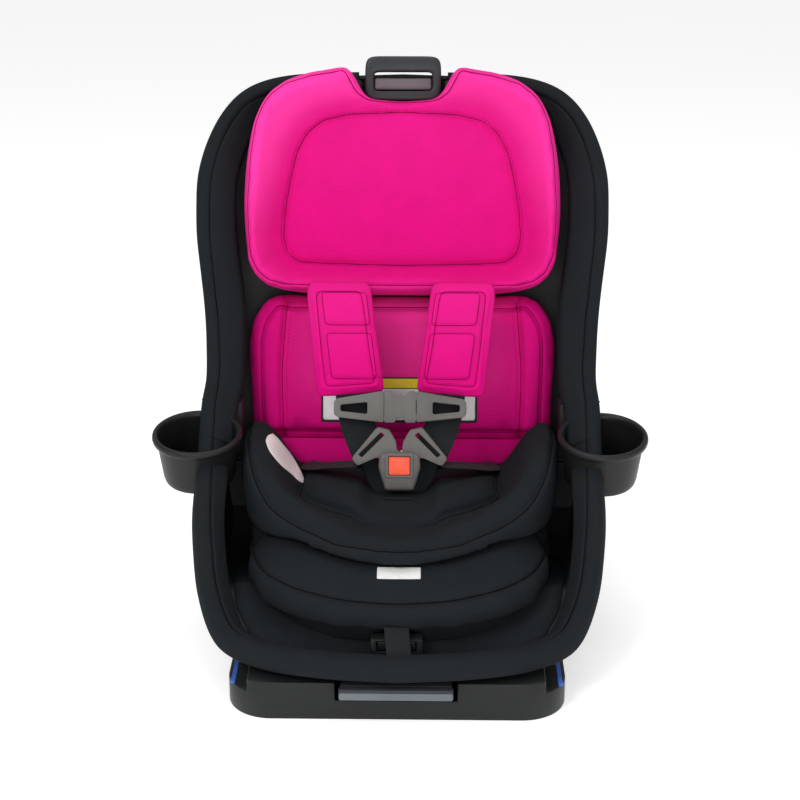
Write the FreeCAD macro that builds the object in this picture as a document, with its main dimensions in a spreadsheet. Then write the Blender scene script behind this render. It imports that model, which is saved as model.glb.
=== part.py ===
"""Convertible child seat with a reclining shell on a base, a sliding headrest and a buckled harness.

Frame: +Z up, the front of the seat faces -Y, +X is to the right of someone looking at its front.
The origin is on the floor, at the middle of the seat's width and depth. Lengths are in millimetres.
"""
import FreeCAD, Part
import math
import os
import re

V = FreeCAD.Vector

# Driving dimensions. Each becomes one aliased cell of the sheet.
SIZES = {
    # clearances and walls
    "gap": 0.4, "wall": 4.0, "base_wall": 3.5, "cradle_gap": 3.0,
    # shell
    "shell_width": 416.0, "wing_flare": 17.0, "back_angle": 15.0, "back_y": 82.6, "back_z": 200.0,
    "back_length": 391.0, "back_depth": 56.0, "wing_front": -18.0, "lip_y": -237.0, "lip_height": 64.0,
    "lip_bottom": 49.0, "pivot_z": 470.0, "floor_height": 70.0, "floor_back": 106.0,
    # base
    "base_inset": 37.0, "upper_inset": 59.0, "base_back": 166.0, "flange_height": 28.0, "flange_corner": 46.0,
    "head_height": 41.0, "foot_thick": 2.5,
    # recline slide
    "rail_x": 104.0, "rail_thick": 5.0, "roller_drop": 24.0, "roller_radius": 6.0, "roller_front": -3.0,
    "roller_back": -12.0, "recline_travel": 16.0, "rack_depth": 9.0, "rack_width": 16.0, "lug_thick": 5.0,
    # recline handle
    "handle_half": 55.0, "handle_reach": 0.9, "handle_z": 29.0, "handle_thick": 11.0, "lever_pivot_z": 24.0,
    "pin_radius": 3.0,
    # headrest
    "headrest_clear": 49.0, "headrest_height": 249.0, "headrest_drop": 0.0, "headrest_front": -50.0,
    "headrest_back": 27.0, "headrest_rim": 26.0, "notch_depth": 30.0, "grip_half": 42.0, "grip_rise": 18.0,
    "grip_bar": 12.0, "notch_clear": 3.0, "runner_x": 75.0, "runner_width": 8.0, "runner_low": 20.0,
    "guide_wall": 3.0, "headrest_travel": 150.0,
    # back pad
    "back_pad_clear": 38.0, "back_pad_low": -22.0, "back_pad_thick": 29.0,
    # seat pan and cushions
    "pan_pivot_y": 100.0, "pan_pivot_z": 150.0, "pan_clear": 50.0, "pan_front_z": 86.0,
    "pan_back_z": 106.0, "pan_thick": 5.0, "cushion_front_z": 121.0, "cushion_back_z": 150.0,
    "insert_thick": 12.0, "bolster_width": 56.0, "bolster_high": 226.0,
    # harness
    "strap_width": 38.0, "strap_thick": 1.6, "strap_x": 52.0, "harness_angle": 22.0, "clip_y": 16.0,
    "clip_z": 244.0, "clip_half": 71.0, "clip_height": 34.0, "clip_thick": 13.0, "shoulder_pad_x": 60.0,
    "shoulder_pad_half": 36.0, "shoulder_pad_low": 19.0, "shoulder_pad_high": 133.0, "shoulder_pad_thick": 15.0,
    "buckle_y": -38.0, "buckle_z": 160.5, "buckle_half": 22.5, "buckle_height": 43.0, "buckle_thick": 24.0,
    "tongue_slot": 3.6, "button_half": 11.0,
    # cup holders
    "cup_out": 8.0, "cup_y": -20.0, "cup_z": 228.0, "cup_radius": 43.5, "cup_taper": 5.5,
    "cup_depth": 58.0, "cup_wall": 2.8, "cup_rim": 4.5, "cup_tilt": 9.0,
}

# Sizes that follow from the driving ones.
DERIVED = {
    "floor_radius": "pivot_z - floor_height", "slot_radius": "floor_radius + roller_drop",
    "floor_front": "lip_y + 137", "base_width": "shell_width - 2 * base_inset",
    "base_front": "lip_y + 11", "upper_half": "shell_width / 2 - upper_inset", "handle_front": "lip_y - handle_reach",
    "lever_pivot_y": "lip_y + 72", "headrest_half": "shell_width / 2 + wing_flare - headrest_clear",
    "headrest_high": "back_length - headrest_drop", "headrest_low": "headrest_high - headrest_height",
    "notch_low": "headrest_high - notch_depth", "notch_half": "grip_half + notch_clear",
    "grip_high": "headrest_high + grip_rise", "runner_high": "back_length - headrest_travel - 12",
    "back_pad_half": "shell_width / 2 - back_pad_clear", "back_pad_high": "headrest_low - 2",
    "pan_half": "shell_width / 2 - pan_clear", "pan_front": "lip_y + 51", "cushion_half": "pan_half + 4",
    "cushion_front": "lip_y + 41", "insert_half": "pan_half - 10", "bolster_outer": "pan_half + 2",
    "bolster_inner": "bolster_outer - bolster_width", "cup_x": "shell_width / 2 + cup_out",
    "cup_foot_radius": "cup_radius - cup_taper", "lug_x": "rail_x + rail_thick / 2 + 2 * gap",
}

doc = FreeCAD.newDocument("ChildSeat")
sheet = doc.addObject("Spreadsheet::Sheet", "Sizes")
for row, (alias, value) in enumerate(SIZES.items(), start=1):
    sheet.set(f"A{row}", alias)
    sheet.set(f"B{row}", str(value))
    sheet.setAlias(f"B{row}", alias)
doc.recompute()

NODES = []


# ---------------------------------------------------------------- helpers

def spelled_out(text):
    """A formula with each derived size replaced by its own formula."""
    return re.sub(r"[a-z_]+", lambda word: "(" + spelled_out(DERIVED[word.group()]) + ")"
                  if word.group() in DERIVED else word.group(), text)


def bound(text):
    """A formula, such as "shell_width / 2 - wall", as an expression on the sheet's cells."""
    return re.sub(r"[a-z_]+", lambda word: "Sizes." + word.group(), spelled_out(str(text)))


def size(text):
    """The value of a formula on the sheet's cells."""
    cells = re.sub(r"[a-z_]+", lambda word: repr(float(sheet.get(word.group()))), spelled_out(text))
    return float(FreeCAD.Units.Quantity(cells).Value)


def node(label, item):
    """Name an object as a sub-part to be written out."""
    item.Label = label
    NODES.append(item)
    return item


def box(name, xs, ys, zs):
    """A box between two formulas along each axis."""
    item = doc.addObject("Part::Box", name)
    for side, axis, (low, high) in zip(("Length", "Width", "Height"), "xyz", (xs, ys, zs)):
        item.setExpression(side, bound(f"({high}) - ({low})"))
        item.setExpression("Placement.Base." + axis, bound(low))
    return item


TURNS = {"x": FreeCAD.Rotation(V(0, 1, 0), 90), "y": FreeCAD.Rotation(V(1, 0, 0), -90), "z": FreeCAD.Rotation()}


def rod(name, axis, radius, length, at):
    """A cylinder along one axis, starting at the formulas in at."""
    item = doc.addObject("Part::Cylinder", name)
    item.setExpression("Radius", bound(radius))
    item.setExpression("Height", bound(length))
    item.Placement = FreeCAD.Placement(V(), TURNS[axis])
    for letter, formula in zip("xyz", at):
        item.setExpression("Placement.Base." + letter, bound(formula))
    return item


def join(name, *items):
    """The union of several objects."""
    item = doc.addObject("Part::MultiFuse", name)
    item.Shapes = list(items)
    item.Refine = True
    return item


def remove(name, base, *tools):
    """The base with each tool cut away in turn."""
    for number, tool in enumerate(tools):
        item = doc.addObject("Part::Cut", f"{name}_{number}")
        item.Base = base
        item.Tool = tool
        base = item
    return base


def group(name, *items):
    """Separate solids that share one node."""
    item = doc.addObject("Part::Compound", name)
    item.Links = list(items)
    return item


def place(item, frame):
    """Move an object that was drawn upright into one of the leaning frames."""
    holder = doc.addObject("Part::Compound", item.Name + "_placed")
    holder.Links = [item]
    angle, base_y, base_z = frame
    holder.Placement = FreeCAD.Placement(V(), FreeCAD.Rotation(V(1, 0, 0), -15))
    holder.setExpression("Placement.Rotation.Angle", bound(angle))
    holder.Placement.Rotation = FreeCAD.Rotation(V(1, 0, 0), size(angle))
    holder.setExpression("Placement.Base.y", bound(base_y))
    holder.setExpression("Placement.Base.z", bound(base_z))
    return holder


BACK = ("0 - back_angle", "back_y", "back_z")
HARNESS = ("0 - harness_angle", "clip_y", "clip_z")


def solid(name, shape, frame=None):
    """A feature that holds a worked-out shape, moved into a leaning frame if one is named."""
    item = doc.addObject("Part::Feature", name)
    item.Shape = shape
    if frame:
        angle, base_y, base_z = frame
        item.Placement = FreeCAD.Placement(V(0, size(base_y), size(base_z)),
                                           FreeCAD.Rotation(V(1, 0, 0), size(angle)))
    return item


AXES = {"x": lambda u, v, t: V(t, u, v), "y": lambda u, v, t: V(u, t, v), "z": lambda u, v, t: V(u, v, t)}


def prism(corners, axis, start, end):
    """A solid between two planes across an axis, from corners (u, v) or (u, v, radius of the rounding)."""
    spot = AXES[axis]
    edges = []
    starts = []
    ends = []
    count = len(corners)
    for index, corner in enumerate(corners):
        here = spot(corner[0], corner[1], start)
        before = spot(*corners[index - 1][:2], start) - here
        after = spot(*corners[(index + 1) % count][:2], start) - here
        radius = corner[2] if len(corner) > 2 else 0.0
        if radius <= 0:
            starts.append(here)
            ends.append(here)
            continue
        turn = before.getAngle(after)
        reach = min(radius / math.tan(turn / 2), 0.49 * before.Length, 0.49 * after.Length)
        before.normalize()
        after.normalize()
        radius = reach * math.tan(turn / 2)
        bisector = (before + after).normalize()
        middle = here + bisector * (radius / math.sin(turn / 2) - radius)
        starts.append(here + before * reach)
        ends.append(here + after * reach)
        edges.append(Part.Arc(starts[-1], middle, ends[-1]).toShape())
    for index in range(count):
        if (starts[(index + 1) % count] - ends[index]).Length > 1e-6:
            edges.append(Part.LineSegment(ends[index], starts[(index + 1) % count]).toShape())
    outline = Part.Wire(Part.sortEdges(edges)[0])
    return Part.Face(outline).extrude(spot(0, 0, end) - spot(0, 0, start))


def both_sides(corners):
    """A closed outline from its right half, listed from the bottom middle to the top middle."""
    left = [(-corner[0], *corner[1:]) for corner in reversed(corners) if corner[0] > 0]
    return list(corners) + left


def mirrored(shape):
    """The shape's twin on the other side of the seat."""
    return shape.mirror(V(), V(1, 0, 0))


def pairs(name, shape, frame=None):
    """The right and left pieces of a mirrored pair."""
    node(name + "_right", solid(name + "_right", shape, frame))
    node(name + "_left", solid(name + "_left", mirrored(shape), frame))


def arc_height(radius, y):
    """Height of a circle about the recline axis, under the axis, at depth y."""
    return size("pivot_z") - math.sqrt(radius ** 2 - y ** 2)


def ring_sector(inner, outer, first, last, x_low, x_high):
    """A curved bar about the recline axis, between two angles from straight down, forward positive."""
    def at(radius, degrees):
        turn = math.radians(degrees)
        return V(x_low, -radius * math.sin(turn), size("pivot_z") - radius * math.cos(turn))
    middle = (first + last) / 2
    edges = [Part.Arc(at(inner, first), at(inner, middle), at(inner, last)).toShape(),
             Part.LineSegment(at(inner, last), at(outer, last)).toShape(),
             Part.Arc(at(outer, last), at(outer, middle), at(outer, first)).toShape(),
             Part.LineSegment(at(outer, first), at(inner, first)).toShape()]
    return Part.Face(Part.Wire(edges)).extrude(V(x_high - x_low, 0, 0))


def about_recline(radius, degrees, x):
    """The point at a radius and an angle about the recline axis."""
    turn = math.radians(degrees)
    return V(x, -radius * math.sin(turn), size("pivot_z") - radius * math.cos(turn))


def half_disc(radius):
    """Everything nearer to the recline axis than the radius, over the seat's whole width."""
    return Part.makeCylinder(radius, 600, V(-300, 0, size("pivot_z")), V(1, 0, 0))


def in_back_frame(shape):
    """The shape as seen once it is moved from the upright to the leaning back frame."""
    moved = shape.copy()
    moved.Placement = FreeCAD.Placement(V(0, size("back_y"), size("back_z")),
                                        FreeCAD.Rotation(V(1, 0, 0), -size("back_angle")))
    return moved


def back_point(depth, height):
    """Depth and height in the leaning frame, as a (y, z) pair of the seat's own frame."""
    turn = math.radians(size("back_angle"))
    return (size("back_y") + depth * math.cos(turn) + height * math.sin(turn),
            size("back_z") - depth * math.sin(turn) + height * math.cos(turn))


# ---------------------------------------------------------------- shell

def shell_envelope(inset):
    """The shell's outline from the front and from above, drawn in by an inset."""
    half = size("shell_width / 2") - inset
    wing = half + size("wing_flare")
    top = size("back_length") - inset
    lip = size("lip_y") + inset
    low = both_sides([(0, 20 + inset), (half - 40, 20 + inset, 10), (half - 30, 42 + inset, 25),
                      (half - 7, 90, 60), (half, 150, 60), (half + 4, 250, 20), (half + 60, 260), (half + 60, 700),
                      (0, 700)])
    high = both_sides([(0, -300), (half + 60, -300), (half + 60, 20), (half, 30, 20), (half + 9, 138, 60),
                       (wing, top - 182, 60), (wing - 1, top - 123, 60), (wing - 10, top - 79, 60),
                       (wing - 20, top - 50, 40), (wing - 48, top - 17, 30), (wing - 92, top - 4, 30), (0, top)])
    above = both_sides([(0, lip), (60, lip + 5, 60), (120, lip + 18, 60), (half - 40, lip + 44, 40),
                        (half - 18, lip + 78, 40), (half - 3, lip + 118, 40), (half + 6, lip + 160, 40),
                        (half + 60, lip + 200), (half + 60, 400), (0, 400)])
    front = prism(low, "y", -400, 500)
    leaning = in_back_frame(prism(high, "y", -600, 400))
    return front.common(leaning).common(prism(above, "z", -50, 800))


def shell_side():
    """The side view of the whole shell: lip, seat side, wing, back and rounded floor."""
    front = size("wing_front")
    depth = size("back_depth")
    top = size("back_length")
    floor = size("floor_radius")
    skirt = size("slot_radius") + 6
    lip = size("lip_y")
    return [(size("lip_y") - 5, size("lip_bottom")), (size("lip_y") - 5, size("lip_height")),
            (lip + 51, size("lip_height") + 4, 20), (lip + 109, 108, 30), (lip + 149, 178, 40), (-20, 226, 30),
            (45, 262, 30), (*back_point(front, 110), 40), (*back_point(front, top - 105), 30),
            (*back_point(depth - 20, top - 45), 20), (*back_point(depth - 20, top + 10), 3),
            (*back_point(depth, top + 10), 3), (*back_point(depth, -60), 20),
            (size("floor_back") + 8, arc_height(floor, size("floor_back")), 10),
            (96, arc_height(skirt, 96), 3), (50, arc_height(skirt, 50), 3), (0, arc_height(skirt, 0), 3),
            (-50, arc_height(skirt, -50), 3), (-100, arc_height(skirt, -100), 3),
            (lip + 87, arc_height(skirt, lip + 87), 3), (lip + 61, 60, 10), (lip + 41, size("lip_bottom"), 5)]


def floor_line(offset):
    """The floor from the front lip to the rear, as points offset outwards from the floor's underside."""
    radius = size("floor_radius") + offset
    points = [(size("lip_y") + 12, size("lip_bottom") + 1 - offset), (size("lip_y") + 41, size("lip_bottom") + 2 - offset)]
    count = 8
    start = size("floor_front")
    step = (size("floor_back") - start) / count
    points += [(start + step * number, arc_height(radius, start + step * number)) for number in range(count + 1)]
    return points


def cup_axis_solid(radius, low, high, side):
    """A cylinder along a cup holder's own leaning axis, from low to high."""
    turn = math.radians(size("cup_tilt"))
    along = V(0, -math.sin(turn), math.cos(turn))
    middle = V(side * size("cup_x"), size("cup_y"), size("cup_z"))
    return Part.makeCylinder(radius, high - low, middle + along * low, along)


def build_shell():
    """The moulded shell: a bucket of even wall with skirts that hang either side of the base."""
    wall = size("wall")
    skin = shell_envelope(0).common(prism(shell_side(), "x", -300, 300))
    inside = floor_line(-wall)
    inside += [back_point(size("back_depth") - wall, -50), back_point(size("back_depth") - wall, 700),
               (-700, 800), (-700, inside[0][1])]
    cavity = shell_envelope(wall).common(prism(inside, "x", -300, 300))
    under = floor_line(0)
    under += [(size("floor_back") + 60, under[-1][1]), (size("floor_back") + 60, -20), (under[0][0], -20)]
    channel = shell_envelope(wall).common(prism(under, "x", -300, 300))
    shape = skin.cut(cavity).cut(channel)
    for side in (-1, 1):
        scoop = cup_axis_solid(size("cup_radius + cup_rim + 3"), -size("cup_depth") - 3, 140, side)
        shape = shape.cut(scoop)
    return node("outer_shell", solid("outer_shell", shape))


build_shell()

# Lugs under the shell carry steel rollers that run in the base rails' curved slots.
LUG_X = size("lug_x")
LUG_THICK = size("lug_thick")
for side, label in ((1, "right"), (-1, "left")):
    inner, outer = sorted((side * LUG_X, side * (LUG_X + LUG_THICK)))
    lugs = [ring_sector(size("floor_radius + 0.1"), size("slot_radius + roller_radius + 2"), angle - 3, angle + 3,
                        inner, outer) for angle in (size("roller_front"), size("roller_back"))]
    node("recline_lugs_" + label, solid("recline_lugs_" + label, Part.makeCompound(lugs)))
    reach = size("rail_thick + 2 * gap + 1.5")
    rollers = []
    for angle in (size("roller_front"), size("roller_back")):
        centre = about_recline(size("slot_radius"), angle, side * (LUG_X - 0.05))
        rollers.append(Part.makeCylinder(size("roller_radius"), reach, centre, V(-side, 0, 0)))
    node("recline_rollers_" + label, solid("recline_rollers_" + label, Part.makeCompound(rollers)))


def build_rack():
    """The toothed rack under the middle of the floor that the recline latch locks into."""
    half = size("rack_width / 2")
    floor = size("floor_radius")
    shape = ring_sector(floor + 0.1, floor + size("rack_depth"), -4, 14, -half, half)
    tooth_angles = [13.1 - 2.4 * number for number in range(7)]
    for angle in tooth_angles:
        shape = shape.cut(ring_sector(floor + size("rack_depth") - 5, floor + size("rack_depth") + 1,
                                      angle - 0.65, angle + 0.65, -half - 1, half + 1))
    return node("recline_rack", solid("recline_rack", shape))


build_rack()

# ---------------------------------------------------------------- base


def cradle(radius_gap, floor_drop):
    """Side view of the base's raised middle, a set gap under the shell's floor."""
    radius = size("floor_radius + cradle_gap") + radius_gap
    count = 8
    start = size("floor_front")
    step = (size("base_back") - 16 - start) / count
    top = [(start + step * number, arc_height(radius, start + step * number)) for number in range(count + 1)]
    return [(size("base_front") + radius_gap, floor_drop), (size("base_front") + radius_gap,
            size("head_height") - radius_gap), (size("base_front") + 30, size("head_height") - radius_gap)] + top + [
            (size("base_back") - radius_gap, top[-1][1] - 10), (size("base_back") - radius_gap, floor_drop)]


def base_plan(inset):
    """The base's outline from above, drawn in by an inset."""
    half = size("base_width / 2") - inset
    corner = size("flange_corner") - inset
    front = size("base_front") + inset
    back = size("base_back") - inset
    return [(-half, front, corner), (half, front, corner), (half, back, corner), (-half, back, corner)]


def build_base():
    """The base: a flanged hollow moulding with a raised middle, open underneath and slotted for the slide."""
    wall = size("base_wall")
    flange = prism(base_plan(0), "z", 0, size("flange_height"))
    half = size("upper_half")
    middle = prism(cradle(0, 0), "x", -half, half).common(prism(base_plan(0), "z", 0, 200))
    hollow = prism(base_plan(wall), "z", -5, size("flange_height") - wall)
    hollow_middle = prism(cradle(wall, -5), "x", wall - half, half - wall).common(
        prism(base_plan(wall), "z", -5, 200))
    shape = flange.fuse(middle).cut(hollow).cut(hollow_middle)
    recess_half = size("handle_half") + 6
    recess = Part.makeBox(2 * recess_half, 50, 60, V(-recess_half, size("base_front") - 8, size("handle_z") - 8))
    shape = shape.cut(recess)
    for side in (-1, 1):
        low, high = sorted((side * size("rail_x - rail_thick / 2 - 4"), side * (LUG_X + LUG_THICK + 3)))
        shape = shape.cut(Part.makeBox(high - low, 272, 90, V(low, -128, 32)))
    rack_half = size("rack_width / 2") + 3
    shape = shape.cut(Part.makeBox(2 * rack_half, 200, 60, V(-rack_half, -142, 40)))
    return node("base_shell", solid("base_shell", shape))


build_base()

node("base_floor_panel", solid("base_floor_panel", prism(base_plan(size("base_wall") + 0.3), "z", 2.5, 5.5)))

for side, label in ((1, "right"), (-1, "left")):
    low, high = sorted((side * size("rail_x - rail_thick / 2"), side * size("rail_x + rail_thick / 2")))
    slot = size("slot_radius")
    reach = size("roller_radius + gap")
    ends = (size("roller_back") - 1.1, size("roller_front + recline_travel") + 1.1)
    plate = prism([(-116, 5.6), (-116, 70, 4), (138, 100, 4), (138, 5.6)], "x", low, high)
    plate = plate.cut(half_disc(size("floor_radius + cradle_gap") + 2))
    plate = plate.cut(ring_sector(slot - reach, slot + reach, ends[0], ends[1], low - 1, high + 1))
    node("base_rail_" + label, solid("base_rail_" + label, plate))

FEET = [(x, y) for x in (-128, 128) for y in (-150, 100)]
foot_items = []
for number, (x, y) in enumerate(FEET):
    foot_items.append(box(f"foot_{number}", (f"{x} - 22", f"{x} + 22"), (f"{y} - 22", f"{y} + 22"),
                          ("0", "foot_thick - 0.05")))
node("base_foot_pads", group("base_foot_pads", *foot_items))

# ---------------------------------------------------------------- recline handle

PIVOT = ("lever_pivot_y", "lever_pivot_z")
arm_half = 14
pivot_pin = rod("pivot_pin", "x", "pin_radius", "2 * 34", ("0 - 34", *PIVOT))
pin_posts = [box(f"pin_post_{index}", (low, high), ("lever_pivot_y - 9", "lever_pivot_y + 9"),
                 ("5.6", "lever_pivot_z + 8")) for index, (low, high) in enumerate((("-34", "-27"), ("27", "34")))]
post_cut = [remove(f"post_bored_{index}", post, rod(f"post_bore_{index}", "x", "pin_radius + 0.05", "100",
            ("0 - 50", *PIVOT))) for index, post in enumerate(pin_posts)]
node("lever_brackets", group("lever_brackets", *post_cut))
node("lever_pivot_pin", pivot_pin)

paddle = box("paddle", ("0 - handle_half", "handle_half"), ("handle_front + 9", "handle_front + 40"),
             ("handle_z", "handle_z + handle_thick"))
arm = solid("handle_arm", prism([(size("handle_front") + 38, size("handle_z") + 3), (-186, 29, 3), (-172, 15, 3),
                                 (-158, 15, 3), (-90, 42, 3), (-88, 49.9), (-102, 49.9), (-150, 36, 4),
                                 (-186, 36, 4), (size("handle_front") + 38, size("handle_z") + 9)],
                                "x", -arm_half, arm_half))
lever_bore = rod("lever_bore", "x", "pin_radius + gap", "100", ("0 - 50", *PIVOT))
lever = remove("lever", join("lever_blank", paddle, arm), lever_bore)
node("recline_handle", lever)
node("recline_handle_grip", box("recline_handle_grip", ("0 - handle_half - 2", "handle_half + 2"),
                                ("handle_front", "handle_front + 8.9"), ("handle_z - 1", "handle_z + handle_thick")))
node("recline_latch_tooth", box("recline_latch_tooth", ("-6", "6"), ("-97", "-91"), ("50", "70.6")))

# ---------------------------------------------------------------- headrest


def headrest_outline(inset, notch=0.0):
    """The headrest seen from the front, drawn in by an inset, with a notch for the grip if one is given."""
    half = size("headrest_half") - inset
    low = size("headrest_low") + inset
    high = size("headrest_high") - inset
    right = [(0, low), (half - 43, low + 3, 12), (half - 9, low + 38, 40), (half, low + 92, 60),
             (half - 2, low + 130, 60), (half - 12, high - 70, 40), (half - 46, high - 13, 28)]
    if notch:
        right += [(notch + 16, high, 10), (notch, high - 3, 4), (notch, size("notch_low"), 6), (0, size("notch_low"))]
    else:
        right += [(0, high)]
    return both_sides(right)


def build_headrest():
    """Padded tray that wraps the head, its backing shell, the grip, runners and lock bar."""
    front = size("headrest_front")
    back = size("headrest_back")
    rim = size("headrest_rim")
    tray = prism(headrest_outline(0, size("notch_half")), "y", front, back)
    hollow = prism(headrest_outline(rim), "y", front - 1, 0)
    low = size("headrest_low")
    mouth = prism([(-100, low - 43), (100, low - 43), (112, low + 87), (-112, low + 87)], "y", front - 1, 0)
    tray = tray.cut(hollow).cut(mouth)
    node("headrest_pad", solid("headrest_pad", tray, BACK))
    backing = prism(headrest_outline(5, size("notch_half") + 1), "y", back + 0.3, back + 4.8)
    node("headrest_shell", solid("headrest_shell", backing, BACK))


build_headrest()

grip_outer = box("grip_outer", ("0 - grip_half", "grip_half"), ("18", "30"), ("notch_low + 5", "grip_high"))
grip_window = box("grip_window", ("0 - grip_half + 11", "grip_half - 11"), ("10", "40"),
                  ("notch_low + 13", "grip_high - grip_bar"))
grip_tail = box("grip_tail", ("-30", "30"), ("headrest_back + 5", "headrest_back + 8"),
                ("notch_low - 60", "notch_low + 20"))
grip_cut = remove("grip_cut", grip_outer, grip_window)
node("headrest_handle", place(join("grip_join", grip_cut, box("grip_neck", ("-30", "30"), ("28", "35"),
                                                              ("notch_low + 5", "notch_low + 12")), grip_tail),
                              BACK))
node("headrest_release_lever", place(box("release_lever", ("0 - grip_half + 11.6", "grip_half - 11.6"),
                                         ("19", "27"), ("notch_low + 13.4", "notch_low + 19")), BACK))

lock_z = size("headrest_low") - 23
for side, label in ((1, "right"), (-1, "left")):
    low, high = sorted((side * size("runner_x - runner_width / 2"), side * size("runner_x + runner_width / 2")))
    runner = Part.makeBox(high - low, 14, size("runner_high - runner_low"),
                          V(low, size("headrest_back") + 5, size("runner_low")))
    runner = runner.cut(Part.makeCylinder(4.2, 60, V(low - 20, 41, lock_z), V(1, 0, 0)))
    node("headrest_runner_" + label, solid("headrest_runner_" + label, runner, BACK))
    outer = size("guide_wall + gap")
    channel = Part.makeBox(high - low + 2 * outer, size("back_depth - wall") - 38.3, size("back_length") - 44,
                           V(low - outer, 38, -20))
    channel = channel.cut(Part.makeBox(high - low + 2 * size("gap"), 11, size("back_length"),
                                       V(low - size("gap"), 37, -30)))
    node("headrest_guide_" + label, solid("headrest_guide_" + label, channel, BACK))
node("headrest_lock_bar", solid("headrest_lock_bar", Part.makeCylinder(
    3.2, 2 * size("runner_x - runner_width / 2 - guide_wall - gap") - 4,
    V(-size("runner_x - runner_width / 2 - guide_wall - gap") + 2, 41, lock_z), V(1, 0, 0)), BACK))
plate = Part.makeBox(2 * size("runner_x - runner_width / 2") - 0.4, 3, 60,
                     V(0.2 - size("runner_x - runner_width / 2"), size("headrest_back") + 5, lock_z + 8))
node("headrest_cross_plate", solid("headrest_cross_plate", plate, BACK))

# ---------------------------------------------------------------- covers on the shell


def build_wing_covers():
    """Fabric linings inside the wings, in two halves beside the headrest."""
    outer = shell_envelope(size("wall") + 0.5)
    inner = shell_envelope(size("wall") + 12.4)
    band = outer.cut(inner)
    front = size("wing_front")
    top = size("back_length") - 46
    side = [back_point(front + 1, 60), back_point(front + 1, top - 61), back_point(size("back_depth") - 19, top),
            back_point(size("back_depth - wall") - 0.5, top), back_point(size("back_depth - wall") - 0.5, 30)]
    band = band.common(prism(side, "x", size("wing_flare") + 100, 300))
    pairs("wing_cover", band)


build_wing_covers()

pad_half = size("back_pad_half")
pad_low = size("back_pad_low")
pad_high = size("back_pad_high")
pad_tall = pad_high - pad_low
label_low = pad_low + 0.145 * pad_tall
label_high = pad_low + 0.46 * pad_tall
node("back_pad", solid("back_pad", prism(both_sides([(0, pad_low), (pad_half - 5, pad_low, 8),
     (pad_half, pad_low + 0.37 * pad_tall, 10), (pad_half, pad_high - 0.25 * pad_tall, 24),
     (pad_half - 36, pad_high, 20), (0, pad_high)]),
     "y", 0, size("back_pad_thick")), BACK))
node("blank_label", solid("blank_label", prism(
    [(-86, label_low, 2), (86, label_low, 2), (86, label_high, 2), (-86, label_high, 2)], "y", -1.9, -0.4), BACK))


def build_lip_cover():
    """The fabric band that lines the inside of the shell's lip and low sides."""
    outer = shell_envelope(size("wall") + 0.6)
    inner = shell_envelope(size("wall") + 14)
    lip = size("lip_y")
    side = [(lip, size("lip_bottom") + 7), (lip, size("lip_height") - 1), (lip + 51, size("lip_height") + 2),
            (lip + 109, 104), (lip + 145, 165), (lip + 163, 168), (lip + 163, 100), (lip + 137, 93),
            (lip + 87, 76), (lip + 41, 60)]
    shape = outer.cut(inner).common(prism(side, "x", -300, 300))
    node("lip_cover", solid("lip_cover", shape))


build_lip_cover()

for side, label in ((1, "right"), (-1, "left")):
    node("cup_bracket_" + label, box("cup_bracket_" + label,
         (f"{side} * (cup_x - 28) - 14", f"{side} * (cup_x - 28) + 14"),
         ("cup_y + cup_radius + cup_rim + 8", "cup_y + cup_radius + cup_rim + 34"), ("cup_z - 28", "cup_z + 12")))

# ---------------------------------------------------------------- cup holders


def build_cup():
    """A round cup with a rolled rim and a foot, drawn upright with its rim at the origin."""
    top = size("cup_radius")
    foot = size("cup_foot_radius")
    depth = size("cup_depth")
    wall = size("cup_wall")
    rim = size("cup_rim")
    profile = [V(0, 0, -depth), V(foot, 0, -depth), V(top, 0, -4), V(top + rim, 0, -4), V(top + rim, 0, 0),
               V(top - wall, 0, 0), V(foot - wall, 0, -depth + wall), V(0, 0, -depth + wall)]
    outline = Part.makePolygon(profile + [profile[0]])
    return Part.Face(outline).revolve(V(), V(0, 0, 1), 360)


for side, label in ((1, "right"), (-1, "left")):
    cup = solid("cup_holder_" + label, build_cup())
    cup.Placement = FreeCAD.Placement(V(side * size("cup_x"), size("cup_y"), size("cup_z")),
                                      FreeCAD.Rotation(V(1, 0, 0), size("cup_tilt")))
    node("cup_holder_" + label, cup)

# ---------------------------------------------------------------- seat pan and cushions


def pan_line(offset):
    """The pan's sloping top, raised by an offset, from the rear to the front."""
    return [(88, size("pan_back_z + pan_thick") + offset), (size("pan_front"), size("pan_front_z + pan_thick") + offset)]


def seat_plan(half, front, back):
    """A seat cushion's outline from above, with large front corners."""
    return both_sides([(0, front), (half * 0.6, front + 22, 60), (half - 8, front + 66, 60), (half, front + 100, 40),
                       (half, back, 12), (0, back)])


def build_pan():
    """The hinged pan: a flat tray with two rear arms that reach up to the hinge pin."""
    half = size("pan_half")
    under = pan_line(-size("pan_thick"))
    tray = prism([*pan_line(0), under[1], under[0]], "x", -half, half).common(
        prism(seat_plan(half, size("pan_front"), 90), "z", 0, 300))
    pivot = (size("pan_pivot_y"), size("pan_pivot_z"))
    arm = [(70, size("pan_back_z")), (88, size("pan_back_z")), (pivot[0] + 7, pivot[1] - 4, 4),
           (pivot[0] + 7, pivot[1] + 8, 5), (pivot[0] - 8, pivot[1] + 8, 5), (pivot[0] - 9, pivot[1] - 6, 3),
           (70, size("pan_back_z + pan_thick"))]
    for side in (-1, 1):
        low, high = sorted((side * (half - 12), side * (half - 4)))
        tray = tray.fuse(prism(arm, "x", low, high))
    bore = Part.makeCylinder(size("pin_radius + gap"), 2 * half, V(-half, *pivot), V(1, 0, 0))
    return node("seat_pan", solid("seat_pan", tray.cut(bore)))


build_pan()

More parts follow.
